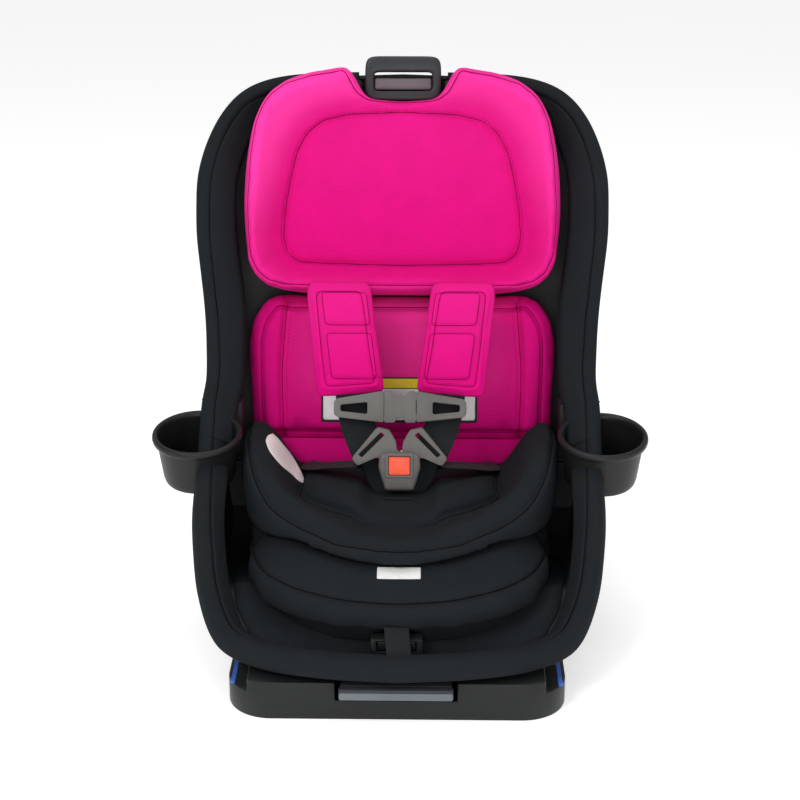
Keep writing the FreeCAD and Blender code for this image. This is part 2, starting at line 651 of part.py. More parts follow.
for side, label in ((1, "right"), (-1, "left")):
    start = size("pan_half") - 16 if side > 0 else -size("shell_width / 2 - wall - 0.5")
    length = size("shell_width / 2 - wall - 0.5") - size("pan_half") + 16
    pin = Part.makeCylinder(size("pin_radius"), length, V(start, size("pan_pivot_y"), size("pan_pivot_z")), V(1, 0, 0))
    node("pan_hinge_pin_" + label, solid("pan_hinge_pin_" + label, pin))


def crotch_slit():
    """The slit through the cushions that the crotch strap comes up through."""
    half = size("strap_width / 2") - 4
    return Part.makeBox(2 * half, 7, 120, V(-half, size("buckle_y") + 1.5, 80))


def build_cushion():
    """The seat cushion: a wedge of foam in its cover, over the pan."""
    base = pan_line(0.5)
    side = [(66, base[0][1]), (66, size("cushion_back_z"), 8), (-100, size("cushion_front_z") + 16, 60),
            (size("cushion_front"), size("cushion_front_z"), 10), (size("cushion_front"), base[1][1] + 1, 5),
            (size("pan_front"), base[1][1])]
    half = size("cushion_half")
    shape = prism(side, "x", -half, half).common(prism(seat_plan(half, size("cushion_front"), 66), "z", 0, 300))
    node("seat_cushion", solid("seat_cushion", shape.cut(crotch_slit())))


def insert_top(y):
    """Height of the seat insert's underside at depth y, just clear of the cushion."""
    slope = (size("cushion_back_z") - size("cushion_front_z") - 16) / 166
    return size("cushion_back_z") + slope * (y - 66) + 2


def build_insert():
    """The U-shaped insert: a thin pad with a raised bolster on each side."""
    thick = size("insert_thick")
    side = [(60, insert_top(60)), (60, insert_top(60) + thick, 5), (-150, insert_top(-150) + thick, 8),
            (-158, insert_top(-158) + 3, 4), (-154, insert_top(-154))]
    half = size("insert_half")
    shape = prism(side, "x", -half, half).common(prism(seat_plan(half, -158, 60), "z", 0, 300))
    inner = size("bolster_inner")
    outer = size("bolster_outer")
    high = size("bolster_high")
    profile = [(inner + 16, insert_top(0) + thick - 4), (inner + 30, high - 14, 12), (outer - 4, high, 10),
               (outer, insert_top(0) + 8, 8), (half - 14, insert_top(0) + 3)]
    bolster = prism(profile, "y", -50, 66)
    above = [(66, 150), (66, high + 4), (20, high + 4), (-50, insert_top(-50) + thick + 2), (-50, 140)]
    bolster = bolster.common(prism(above, "x", 0, 300))
    shape = shape.fuse(bolster).fuse(mirrored(bolster)).cut(crotch_slit())
    node("seat_insert", solid("seat_insert", shape))


build_cushion()
build_insert()

# ---------------------------------------------------------------- harness


def strap_run(points, x_low, x_high):
    """A flat webbing run through points (y, z) of one side view, between two widths."""
    thick = size("strap_thick")
    front = [(y - thick / 2, z) for y, z in points]
    back = [(y + thick / 2, z) for y, z in reversed(points)]
    return prism(front + back, "x", x_low, x_high)


half_web = size("strap_width / 2")
for side, label in ((1, "right"), (-1, "left")):
    low, high = sorted((side * (size("strap_x") - half_web), side * (size("strap_x") + half_web)))
    run = strap_run([(0, size("shoulder_pad_high") + 4), (0, -20)], low, high)
    node("shoulder_strap_" + label, solid("shoulder_strap_" + label, run, HARNESS))
    low, high = sorted((side * size("shoulder_pad_x - shoulder_pad_half"),
                        side * size("shoulder_pad_x + shoulder_pad_half")))
    half_thick = size("shoulder_pad_thick / 2")
    pad = prism([(low, size("shoulder_pad_low"), 8), (high, size("shoulder_pad_low"), 8),
                 (high, size("shoulder_pad_high"), 8), (low, size("shoulder_pad_high"), 8)],
                "y", -half_thick, half_thick)
    tunnel = Part.makeBox(2 * half_web + 1.6, size("strap_thick") + 1.2, 200,
                          V(side * size("strap_x") - half_web - 0.8, -size("strap_thick") / 2 - 0.6, 0))
    node("shoulder_pad_" + label, solid("shoulder_pad_" + label, pad.cut(tunnel), HARNESS))

clip_front = -size("strap_thick / 2") - 0.6 - size("clip_thick")
clip_back = clip_front + size("clip_thick")
clip_low = -size("clip_height / 2")
clip_high = size("clip_height / 2")


def build_clip():
    """The chest clip: the left part carries the middle block, the right part slides its tongue into it."""
    outer = size("clip_half")
    socket = 17
    frame = prism([(socket + 0.5, clip_low, 2), (outer, clip_low + 6, 6), (outer, clip_high - 9, 6),
                   (socket + 0.5, clip_high, 2)], "y", clip_front, clip_back)
    window = prism([(socket + 18, clip_low + 9, 2), (outer - 7, clip_low + 12, 2), (outer - 7, clip_high - 15, 2),
                    (socket + 18, clip_high - 12, 2)], "y", clip_front - 1, clip_back + 1)
    frame = frame.cut(window)
    block = prism([(-socket, clip_low, 2), (-6, clip_low, 2), (-4, clip_low + 5, 4), (4, clip_low + 5, 4),
                   (6, clip_low, 2), (socket, clip_low, 2), (socket, clip_high, 2), (9, clip_high, 3),
                   (6, clip_high - 6, 6), (-6, clip_high - 6, 6), (-9, clip_high, 3), (-socket, clip_high, 2)],
                  "y", clip_front, clip_back)
    mouth = Part.makeBox(socket + 8, 4.8, 15, V(-7, clip_front + 4, -7.5))
    block = block.cut(mouth)
    tongue = Part.makeBox(socket + 6.5, 4, 14, V(-5, clip_front + 4.4, -7))
    left = mirrored(frame).fuse(block).fuse(Part.makeBox(2, 5, 20, V(-socket - 1, clip_front + 3, -10)))
    node("chest_clip_left", solid("chest_clip_left", left, HARNESS))
    node("chest_clip_right", solid("chest_clip_right", frame.fuse(tongue), HARNESS))


build_clip()

BUCKLE = ("0 - back_angle", "buckle_y", "buckle_z")


def build_buckle():
    """The buckle housing, drawn upright with its foot at the origin, open at the top for the two tongues."""
    half = size("buckle_half")
    tall = size("buckle_height")
    thick = size("buckle_thick") / 2
    body = prism([(-half, 0, 6), (half, 0, 6), (half - 1, tall, 5), (-half + 1, tall, 5)], "y", -thick, thick)
    mouth = Part.makeBox(2 * half - 8, size("tongue_slot"), 40, V(4 - half, 1, tall - 24))
    window_half = size("button_half") + 0.5
    window = Part.makeBox(2 * window_half, 9.5, 19, V(-window_half, -thick - 1, tall - 20))
    web = Part.makeBox(size("strap_width") - 8, 3, 14, V(4 - half_web, 4.7, -1))
    node("buckle_housing", solid("buckle_housing", body.cut(mouth).cut(window).cut(web), BUCKLE))
    button = Part.makeBox(2 * size("button_half"), 4, 18, V(-size("button_half"), -thick - 0.5, tall - 19.5))
    node("buckle_button", solid("buckle_button", button, BUCKLE))


build_buckle()


def build_tongues():
    """Two steel tongues with moulded heads that hold the webbing loops."""
    tall = size("buckle_height")
    half = size("buckle_half")
    slot = size("tongue_slot")
    blade = Part.makeBox(half - 6, slot - 1.0, 28, V(1, 1.5, tall - 20))
    head = prism([(1.5, tall + 1, 2), (half + 2, tall + 1, 3), (45, tall - 8, 4), (51, tall, 4),
                  (24, tall + 33, 5), (11, tall + 30, 5), (4, tall + 18, 4)], "y", -6, 5.5)
    slit = prism([(40, tall + 1, 1), (44, tall + 4, 1), (20, tall + 28, 1), (16, tall + 25, 1)], "y", -7, 7)
    head = head.cut(slit).cut(Part.makeBox(half - 5.6, slot - 0.6, 12, V(0.8, 1.3, tall - 4)))
    for side, label in ((1, "right"), (-1, "left")):
        plate, cover = (blade, head) if side > 0 else (mirrored(blade), mirrored(head))
        node("tongue_plate_" + label, solid("tongue_plate_" + label, plate, BUCKLE))
        node("tongue_cover_" + label, solid("tongue_cover_" + label, cover, BUCKLE))


build_tongues()

crotch_y = size("buckle_y") + 4
crotch_web = Part.makeBox(size("strap_width") - 10, 2, 52, V(5 - half_web, crotch_y, size("buckle_z") - 54))
node("crotch_strap", solid("crotch_strap", crotch_web))
crotch_low = insert_top(crotch_y) + size("insert_thick") + 0.4
crotch_pad = prism([(crotch_y - 46, crotch_low - 1.5, 2), (crotch_y - 17, crotch_low, 2),
                    (crotch_y - 17, crotch_low + 5, 2), (crotch_y - 46, crotch_low + 4, 2)], "x", -34, 34)
node("crotch_pad", solid("crotch_pad", crotch_pad))

for side, label in ((1, "right"), (-1, "left")):
    lap = prism([(side * 60, 186), (side * 60, 190), (side * 98, 183), (side * 98, 180)], "y", -16, 20)
    node("lap_strap_" + label, solid("lap_strap_" + label, lap))

# ---------------------------------------------------------------- harness adjuster

adjuster_web = half_web - 7
node("harness_adjuster", remove("adjuster_body", box("adjuster_block", ("-26", "26"), ("-204", "-189"),
     ("61", "78")), box("adjuster_mouth", ("-20", "20"), ("-206", "-192.5"), ("64", "76"))))
node("harness_release_button", box("harness_release_button", ("-19", "19"), ("-203.5", "-197"), ("66.5", "75.5")))
tail = strap_run([(-201, 89), (-216, 70)], -12.5, 12.5)
node("adjuster_strap", solid("adjuster_strap", tail))

# ---------------------------------------------------------------- check and write

doc.recompute()
for item in doc.Objects:
    if "Invalid" in item.State or "Error" in item.State:
        raise RuntimeError(f"{item.Name} failed to build")
os.makedirs("parts", exist_ok=True)
for item in NODES:
    if item.Shape.isNull() or not item.Shape.isValid() or not item.Shape.Solids:
        raise RuntimeError(f"{item.Label} has no sound shape")
    item.Shape.exportStep(f"parts/{item.Label}.step")
print(f"wrote {len(NODES)} sub-parts")
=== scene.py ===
"""A child seat with padded covers, a five-point harness, cup holders and a reclining shell on its base."""
from __future__ import annotations

import logging
import math
from dataclasses import dataclass
from enum import Enum
from typing import Callable, Sequence

import bmesh
import bpy
import numpy as np
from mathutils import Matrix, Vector
from mathutils.bvhtree import BVHTree


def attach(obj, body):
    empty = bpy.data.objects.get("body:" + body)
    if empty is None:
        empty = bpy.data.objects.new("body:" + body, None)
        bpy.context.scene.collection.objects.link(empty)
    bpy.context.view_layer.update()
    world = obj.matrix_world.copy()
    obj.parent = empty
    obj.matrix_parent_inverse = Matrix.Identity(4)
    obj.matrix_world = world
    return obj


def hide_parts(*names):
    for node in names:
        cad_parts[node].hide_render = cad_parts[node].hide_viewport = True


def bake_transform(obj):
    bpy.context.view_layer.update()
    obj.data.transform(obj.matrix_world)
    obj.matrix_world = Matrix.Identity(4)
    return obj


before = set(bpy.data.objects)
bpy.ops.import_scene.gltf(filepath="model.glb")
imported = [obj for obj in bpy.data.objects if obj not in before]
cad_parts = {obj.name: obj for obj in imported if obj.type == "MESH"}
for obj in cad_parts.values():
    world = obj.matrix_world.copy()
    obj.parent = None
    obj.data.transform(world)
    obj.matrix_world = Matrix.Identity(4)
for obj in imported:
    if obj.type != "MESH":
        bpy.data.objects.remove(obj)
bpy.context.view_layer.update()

Array = np.ndarray
LOG = logging.getLogger("child_seat")
SWELL = 0.35  # the share of a padded piece's cap by which it stands proud of its first shape


# ---------------------------------------------------------------- frames and curves

@dataclass(frozen=True)
class Plane:
    """A plane to draw on: across is +X, up runs along the plane, out stands off it towards its front."""

    y: float
    z: float
    lean: float

    def at(self, across: Array, up: Array, out: Array) -> Array:
        """Points in the seat's frame.

        Args:
            across: distances to the right.
            up: distances along the plane.
            out: distances off the plane.

        Returns:
            An array with one more axis, of length three.
        """
        across, up, out = np.broadcast_arrays(across, up, out)
        sine, cosine = math.sin(self.lean), math.cos(self.lean)
        deep, high = self.y + up * sine - out * cosine, self.z + up * cosine + out * sine
        return np.stack([across, deep, high], axis=-1)

    def seen(self, points: Array) -> tuple[Array, Array, Array]:
        """The plane's own across, up and out of points in the seat's frame."""
        sine, cosine = math.sin(self.lean), math.cos(self.lean)
        y, z = points[..., 1] - self.y, points[..., 2] - self.z
        return points[..., 0], y * sine + z * cosine, -y * cosine + z * sine


BACK = Plane(0.0826, 0.2, math.radians(15))
HARNESS = Plane(0.016, 0.244, math.radians(22))
BUCKLE = Plane(-0.038, 0.1605, math.radians(15))
SEAT = Plane(0.0, 0.0, math.radians(90))
QUARTER = Plane(0.0, 0.0, math.radians(20))


def bell_average(points: Array, reach: float, closed: bool) -> Array:
    """Each row becomes a bell-weighted average of its neighbours, reach rows wide; open ends stay put."""
    if reach <= 0:
        return points
    span = max(1, int(3 * reach))
    offsets = np.arange(-span, span + 1)
    weights = np.exp(-0.5 * (offsets / reach) ** 2)
    weights /= weights.sum()
    if closed:
        padded = np.concatenate([points[-span:], points, points[:span]])
    else:
        head = 2 * points[0] - points[span:0:-1]
        tail = 2 * points[-1] - points[-2:-span - 2:-1]
        padded = np.concatenate([head, points, tail])
    return sum(weight * padded[index:index + len(points)] for index, weight in enumerate(weights))


def run(points: Sequence[Sequence[float]], count: int, blur: float = 0.0, closed: bool = False) -> Array:
    """A line through points, spaced evenly by length and rounded by a bell-shaped average.

    Args:
        points: the corners, in any number of dimensions.
        count: how many points the line gets.
        blur: the rounding, in metres.
        closed: whether the line joins up with its start.

    Returns:
        The line's points, one a row.
    """
    corners = np.asarray(points, float)
    if closed:
        corners = np.concatenate([corners, corners[:1]])
    steps = np.linalg.norm(np.diff(corners, axis=0), axis=1)
    length = np.concatenate([[0.0], np.cumsum(steps)])
    places = np.linspace(0, length[-1], count, endpoint=not closed)
    line = np.stack([np.interp(places, length, column) for column in corners.T], axis=1)
    return bell_average(line, blur * count / length[-1], closed)


def whole(half: Sequence[Sequence[float]]) -> list[tuple[float, ...]]:
    """A closed outline from its right half, listed from the bottom middle to the top middle."""
    left = [(-corner[0], *corner[1:]) for corner in reversed(half) if corner[0] > 0]
    return [tuple(corner) for corner in half] + left


def step_up(value: Array, low: float, high: float) -> Array:
    """0 below low, 1 above high and a smooth S between."""
    share = np.clip((np.asarray(value, float) - low) / (high - low), 0, 1)
    return share * share * (3 - 2 * share)


def outward(outline: Array) -> Array:
    """Unit normals of a closed outline that runs anticlockwise."""
    along = np.roll(outline, -1, axis=0) - np.roll(outline, 1, axis=0)
    normal = np.stack([along[:, 1], -along[:, 0]], axis=1)
    return normal / np.linalg.norm(normal, axis=1, keepdims=True)


# ---------------------------------------------------------------- meshes

def mesh_piece(name: str, points: Array, faces: list) -> bpy.types.Object:
    """A smooth-shaded mesh object with its faces turned outwards.

    Args:
        name: the piece's name.
        points: its vertices, one a row.
        faces: its faces, as tuples of vertex numbers.

    Returns:
        The object, at the origin.
    """
    data = bpy.data.meshes.new(name)
    data.from_pydata(np.asarray(points, float).reshape(-1, 3).tolist(), [], faces)
    work = bmesh.new()
    work.from_mesh(data)
    bmesh.ops.recalc_face_normals(work, faces=work.faces)
    work.to_mesh(data)
    work.free()
    data.polygons.foreach_set("use_smooth", np.ones(len(data.polygons), bool))
    piece = bpy.data.objects.new(name, data)
    bpy.context.scene.collection.objects.link(piece)
    return piece


def loft(name: str, rings: Array, caps: bool = True, loop: bool = False) -> bpy.types.Object:
    """A surface through closed rings: rings[row, column] are its points.

    Args:
        name: the piece's name.
        rings: an array of rows of points.
        caps: whether flat faces close the two end rings.
        loop: whether the last ring joins the first.

    Returns:
        The object.
    """
    rows, columns = rings.shape[:2]
    row = np.arange(rows if loop else rows - 1)[:, None]
    column = np.arange(columns)[None, :]
    low, high = row * columns, ((row + 1) % rows) * columns
    after = (column + 1) % columns
    quads = np.stack(np.broadcast_arrays(low + column, low + after, high + after, high + column), axis=-1)
    faces = quads.reshape(-1, 4).tolist()
    if caps and not loop:
        faces += [list(range(columns)), list(range((rows - 1) * columns, rows * columns))]
    return mesh_piece(name, rings, faces)


def slab(name: str, plane: Plane, outline: Array, low: float, high: float, round_off: float,
         crown: float = 0.0) -> bpy.types.Object:
    """A plate of an outline's shape with rounded edges and, if asked, a crowned front.

    The rings step round a quarter circle at the back edge and another at the front edge, and then shrink
    towards the middle while they rise by crown times one minus the square of the share of the way out.
    """
    turns = np.linspace(0, math.pi / 2, 5)
    normal = outward(outline)
    levels = [(round_off * (1 - math.sin(t)), low + round_off * (1 - math.cos(t))) for t in turns]
    levels += [(round_off * (1 - math.cos(t)), high - round_off * (1 - math.sin(t))) for t in turns]
    rings = [plane.at(*(outline - inset * normal).T, out) for inset, out in levels]
    if crown:
        middle = outline.mean(axis=0)
        inner = outline - round_off * normal
        for share in np.linspace(1, 0.08, 9)[1:]:
            spot = middle + (inner - middle) * share
            rings.append(plane.at(*spot.T, high + crown * (1 - share ** 2)))
    return loft(name, np.stack(rings))


def ring_plate(name: str, plane: Plane, outer: Array, inner: Array, low: float,
               high: float) -> bpy.types.Object:
    """A plate with a hole: a rounded-rectangle section carried between an outer and an inner outline."""
    turn = np.linspace(0, 2 * math.pi, 20, endpoint=False)
    across = np.sign(np.cos(turn)) * np.abs(np.cos(turn)) ** 0.45
    lift = np.sign(np.sin(turn)) * np.abs(np.sin(turn)) ** 0.45
    share = (across + 1) / 2
    spots = inner[None] + (outer - inner)[None] * share[:, None, None]
    out = (low + high) / 2 + (high - low) / 2 * lift
    rings = plane.at(spots[..., 0], spots[..., 1], out[:, None])
    return loft(name, rings, loop=True)


def panel(name: str, plane: Plane, outline: Array, front: Callable[[Array, Array, Array], Array], back: float,
          bulge: float, rows: int = 26) -> bpy.types.Object:
    """A closed padded panel: a front given as a height over its outline, rolled edges and a flat back.

    Args:
        name: the piece's name.
        plane: the plane that the outline is drawn on.
        outline: the closed outline.
        front: the front's distance off the plane, from across, up and the distance in from the edge.
        back: the back's distance off the plane.
        bulge: how far the rolled edge stands out past the outline.
        rows: rings between the middle and the edge.

    Returns:
        The object.
    """
    middle = (outline.min(axis=0) + outline.max(axis=0)) / 2
    arm = outline - middle
    reach = np.linalg.norm(arm, axis=1)
    normal = outward(outline)
    rings = []
    for share in np.linspace(0.02, 1, rows):
        spot = middle + arm * share
        rings.append(plane.at(*spot.T, front(spot[:, 0], spot[:, 1], (1 - share) * reach)))
    edge = front(outline[:, 0], outline[:, 1], np.zeros(len(outline)))
    for turn in np.linspace(0, math.pi, 9)[1:]:
        spot = outline + normal * (bulge * math.sin(turn))
        share = (1 - math.cos(turn)) / 2
        rings.append(plane.at(*spot.T, edge + (back - edge) * share))
    for share in np.linspace(1, 0.02, 8)[1:]:
        spot = middle + arm * share
        rings.append(plane.at(*spot.T, back))
    return loft(name, np.stack(rings))


def frames_along(line: Array, hint: Array) -> tuple[Array, Array, Array]:
    """Tangents, side vectors near the hint and the third direction, for every point of a line."""
    tangent = np.gradient(line, axis=0)
    tangent /= np.linalg.norm(tangent, axis=1, keepdims=True)
    side = np.broadcast_to(hint, line.shape) - (tangent * hint).sum(axis=1, keepdims=True) * tangent
    side /= np.linalg.norm(side, axis=1, keepdims=True)
    return tangent, side, np.cross(tangent, side)


def sweep(name: str, line: Array, section: Array, hint: Array, closed: bool = False) -> bpy.types.Object:
    """A section carried along a line.

    Args:
        name: the piece's name.
        line: the path, one point a row.
        section: closed section points (side, third), either one section or one for each point of the line.
        hint: the side direction, either one vector or one for each point.
        closed: whether the line joins up.

    Returns:
        The object, with a UV map whose V is the length along the line in metres.
    """
    if closed:
        long = np.concatenate([line[-2:], line, line[:2]])
        hints = np.broadcast_to(hint, line.shape)
        parts = frames_along(long, np.concatenate([hints[-2:], hints, hints[:2]]))
        side, third = parts[1][2:-2], parts[2][2:-2]
    else:
        _, side, third = frames_along(line, np.broadcast_to(hint, line.shape))
    sections = np.broadcast_to(section, (len(line), *np.shape(section)[-2:]))
    rings = line[:, None] + sections[..., :1] * side[:, None] + sections[..., 1:] * third[:, None]
    piece = loft(name, rings, loop=closed)
    length = np.concatenate([[0.0], np.cumsum(np.linalg.norm(np.diff(line, axis=0), axis=1))])
    layer = piece.data.uv_layers.new(name="strap")
    corners = np.zeros(len(piece.data.loops), int)
    piece.data.loops.foreach_get("vertex_index", corners)
    columns = rings.shape[1]
    across = sections[..., 0].reshape(-1)
    places = np.stack([across[corners], length[corners // columns]], axis=1)
    layer.data.foreach_set("uv", places.astype(np.float32).ravel())
    return piece


def flat_section(width: float, thick: float) -> Array:
    """The section of a webbing strap: a thin rectangle with rounded long edges."""
    turn = np.linspace(0, 2 * math.pi, 16, endpoint=False)
    side = np.sign(np.cos(turn)) * np.abs(np.cos(turn)) ** 0.3 * width / 2
    lift = np.sign(np.sin(turn)) * np.abs(np.sin(turn)) ** 0.6 * thick / 2
    return np.stack([side, lift], axis=1)


def round_section(radius: float, count: int = 10) -> Array:
    """A circle's section."""
    turn = np.linspace(0, 2 * math.pi, count, endpoint=False)
    return radius * np.stack([np.cos(turn), np.sin(turn)], axis=1)


def turned(name: str, profile: Array, origin: Array, axis_lean: float, count: int = 96) -> bpy.types.Object:
    """A closed profile (radius, height) turned about an axis that leans forward by an angle."""
    turn = np.linspace(0, 2 * math.pi, count, endpoint=False)
    radius, height = profile[:, 0][:, None], profile[:, 1][:, None]
    x = radius * np.cos(turn)
    y = radius * np.sin(turn)
    sine, cosine = math.sin(axis_lean), math.cos(axis_lean)
    rings = np.stack([x, y * cosine - height * sine, y * sine + height * cosine + 0 * x], axis=-1) + origin
    return loft(name, rings, caps=False, loop=True)


def joined(name: str, pieces: Sequence[bpy.types.Object]) -> bpy.types.Object:
    """One object from several, which keeps the first one's place and takes a new name."""
    bpy.ops.object.select_all(action="DESELECT")
    for piece in pieces:
        piece.select_set(True)
    bpy.context.view_layer.objects.active = pieces[0]
    bpy.ops.object.join()
    pieces[0].name = name
    pieces[0].data.name = name
    return pieces[0]


def apply_modifiers(piece: bpy.types.Object) -> None:
    """Replace the object's mesh with what its modifiers make of it."""
    graph = bpy.context.evaluated_depsgraph_get()
    data = bpy.data.meshes.new_from_object(piece.evaluated_get(graph))
    old = piece.data
    piece.modifiers.clear()
    piece.data = data
    bpy.data.meshes.remove(old)
    data.name = piece.name
    data.polygons.foreach_set("use_smooth", np.ones(len(data.polygons), bool))


def coordinates(piece: bpy.types.Object, field: str = "co") -> Array:
    """The vertices' places, or their normals."""
    count = len(piece.data.vertices)
    values = np.zeros(count * 3, np.float32)
    if field == "co":
        piece.data.vertices.foreach_get("co", values)
    else:
        piece.data.vertex_normals.foreach_get("vector", values)
    return values.reshape(-1, 3).astype(float)


def set_coordinates(piece: bpy.types.Object, points: Array) -> None:
    """Move the vertices."""
    piece.data.vertices.foreach_set("co", points.astype(np.float32).ravel())
    piece.data.update()


def subdivided(piece: bpy.types.Object, levels: int = 1) -> bpy.types.Object:
    """The piece with a subdivision surface applied."""
    modifier = piece.modifiers.new("smooth", "SUBSURF")
    modifier.levels = modifier.render_levels = levels
    apply_modifiers(piece)
    return piece


def bevelled(piece: bpy.types.Object, width: float, angle: float = 35.0) -> bpy.types.Object:
    """The piece with its sharp edges rounded off."""
    modifier = piece.modifiers.new("edges", "BEVEL")
    modifier.width = width
    modifier.segments = 2
    modifier.limit_method = "ANGLE"
    modifier.angle_limit = math.radians(angle)
    modifier.harden_normals = False
    return piece


def stuffed(piece: bpy.types.Object, voxel: float, cap: float, pressure: float = 4.0,
            frames: int = 18, smooth: int = 4) -> bpy.types.Object:
    """The piece remeshed and blown up as cloth, with every point's travel capped.

    The cloth draws itself in as it fills, so its box is brought back to the remeshed piece's, a bit swollen.

    Args:
        piece: a closed mesh a little smaller than the padded piece.
        voxel: the remesh size, in metres.
        cap: the furthest that a point may move, in metres.
        pressure: the cloth's inner pressure.
        frames: how many frames the cloth is run for.
        smooth: rounds of smoothing after the remesh.

    Returns:
        The same object with its final mesh, subdivided once.
    """
    remesh = piece.modifiers.new("voxels", "REMESH")
    remesh.mode = "VOXEL"
    remesh.voxel_size = voxel
    if smooth:
        relax = piece.modifiers.new("relax", "SMOOTH")
        relax.iterations = smooth
    apply_modifiers(piece)
    rest = coordinates(piece)
    cloth = piece.modifiers.new("cloth", "CLOTH")
    cloth.settings.quality = 5
    cloth.settings.mass = 0.3
    cloth.settings.tension_stiffness = cloth.settings.compression_stiffness = 12
    cloth.settings.bending_stiffness = 0.4
    cloth.settings.use_pressure = True
    cloth.settings.uniform_pressure_force = pressure
    cloth.settings.effector_weights.gravity = 0
    cloth.collision_settings.use_collision = False
    cloth.point_cache.frame_start, cloth.point_cache.frame_end = 1, frames
    scene = bpy.context.scene
    for number in range(1, frames + 1):
        scene.frame_set(number)
    graph = bpy.context.evaluated_depsgraph_get()
    blown = coordinates_of(piece.evaluated_get(graph))
    scene.frame_set(1)
    piece.modifiers.clear()
    travel = blown - rest
    travel -= travel.mean(axis=0)
    length = np.maximum(np.linalg.norm(travel, axis=1, keepdims=True), 1e-9)
    points = rest + travel / length * cap * np.tanh(length / cap)
    low, high = points.min(axis=0), points.max(axis=0)
    swell = cap * SWELL
    share = (points - low) / (high - low)
    set_coordinates(piece, rest.min(axis=0) - swell + share * (np.ptp(rest, axis=0) + 2 * swell))
    return subdivided(piece)


def coordinates_of(evaluated: bpy.types.Object) -> Array:
    """The vertices' places of an evaluated object."""
    data = evaluated.to_mesh()
    values = np.zeros(len(data.vertices) * 3, np.float32)
    data.vertices.foreach_get("co", values)
    evaluated.to_mesh_clear()
    return values.reshape(-1, 3).astype(float)


def distance_to(points: Array, line: Array) -> Array:
    """Each point's distance to a line of straight runs, both in two dimensions."""
    start, along = line[:-1], np.diff(line, axis=0)
    square = (along ** 2).sum(axis=1)
    best = np.full(len(points), np.inf)
    for begin, stretch, total in zip(start, along, square):
        share = np.clip(((points - begin) @ stretch) / max(total, 1e-12), 0, 1)
        best = np.minimum(best, np.linalg.norm(points - begin - share[:, None] * stretch, axis=1))
    return best


def inside(points: Array, polygon: Array) -> Array:
    """Which points lie within a closed polygon: a ray to the right crosses it an odd number of times."""
    crossings = np.zeros(len(points), int)
    for begin, end in zip(polygon, np.roll(polygon, -1, axis=0)):
        if begin[1] == end[1]:
            continue
        spans = (points[:, 1] >= min(begin[1], end[1])) & (points[:, 1] < max(begin[1], end[1]))
        meets = begin[0] + (points[:, 1] - begin[1]) * (end[0] - begin[0]) / (end[1] - begin[1])
        crossings += spans & (meets > points[:, 0])
    return crossings % 2 == 1


def closed(outline: Array) -> Array:
    """An outline with its first point repeated at its end."""
    return np.concatenate([outline, outline[:1]])


def carve(piece: bpy.types.Object, plane: Plane, line: Array, depth: float, width: float) -> None:
    """Press a seam into the side of the piece that faces out of the plane.

    The groove's depth falls off as a bell curve of the distance to the line.
    """
    points, normals = coordinates(piece), coordinates(piece, "normal")
    across, up, _ = plane.seen(points)
    facing = plane.seen(normals + [0, plane.y, plane.z])[2]
    pull = depth * np.exp(-(distance_to(np.stack([across, up], axis=1), line) / width) ** 2)
    set_coordinates(piece, points - normals * (pull * step_up(facing, 0.05, 0.35))[:, None])


def landed(piece: bpy.types.Object, plane: Plane, line: Array) -> tuple[Array, Array, Array]:
    """Where a line drawn on a plane lands on the front of a piece.

    Args:
        piece: the piece to land on.
        plane: the plane that the line is drawn on.
        line: its points (across, up).

    Returns:
        Points, the surface's normals there and which of the line's points landed.
    """
    points = coordinates(piece)
    data = piece.data
    tree = BVHTree.FromPolygons(points.tolist(), [tuple(face.vertices) for face in data.polygons])
    heading = Vector(plane.at(0, 0, -1.0) - plane.at(0, 0, 0.0))
    places, normals, good = [], [], []
    for start in plane.at(line[:, 0], line[:, 1], 0.4):
        hit, normal, _, _ = tree.ray_cast(Vector(start), heading)
        good.append(hit is not None)
        if hit is not None:
            places.append(hit)
            normals.append(normal if normal.dot(heading) < 0 else -normal)
    found = [np.array(values, float).reshape(-1, 3) for values in (places, normals)]
    return found[0], found[1], np.array(good, bool)


def stitches(name: str, piece: bpy.types.Object, plane: Plane, line: Array, pitch: float = 0.0042,
             length: float = 0.0028, thick: float = 0.0009) -> bpy.types.Object:
    """A row of thread stitches laid on a piece along a line drawn on a plane.

    Each stitch is a short spindle: five rings of six points whose radius follows a half sine.
    """
    total = np.linalg.norm(np.diff(line, axis=0), axis=1).sum()
    spots = run(line, max(4, int(total / pitch)))
    places, normals, _ = landed(piece, plane, spots)
    if len(places) < 3:
        raise ValueError(f"{name}: the row of stitches misses {piece.name}")
    tangent, side, third = frames_along(places, normals)
    share = np.linspace(0, 1, 5)
    turn = np.linspace(0, 2 * math.pi, 6, endpoint=False)
    radius = thick / 2 * np.maximum(np.sin(math.pi * share), 0.15)
    body = (places[:, None, None] + tangent[:, None, None] * ((share - 0.5) * length)[None, :, None, None]
            + side[:, None, None] * (radius[:, None] * np.cos(turn) + thick * 0.15)[None, :, :, None]
            + third[:, None, None] * (radius[:, None] * np.sin(turn))[None, :, :, None])
    rows, columns = 5, 6
    faces = []
    for number in range(len(places)):
        first = number * rows * columns
        row = np.arange(rows - 1)[:, None] * columns + first
        column = np.arange(columns)[None]
        after = (column + 1) % columns
        quads = np.stack([row + column, row + after, row + columns + after, row + columns + column], axis=-1)
        faces += quads.reshape(-1, 4).tolist()
        faces += [list(range(first, first + columns)), list(range(first + 4 * columns, first + 5 * columns))]
    return mesh_piece(name, body, faces)


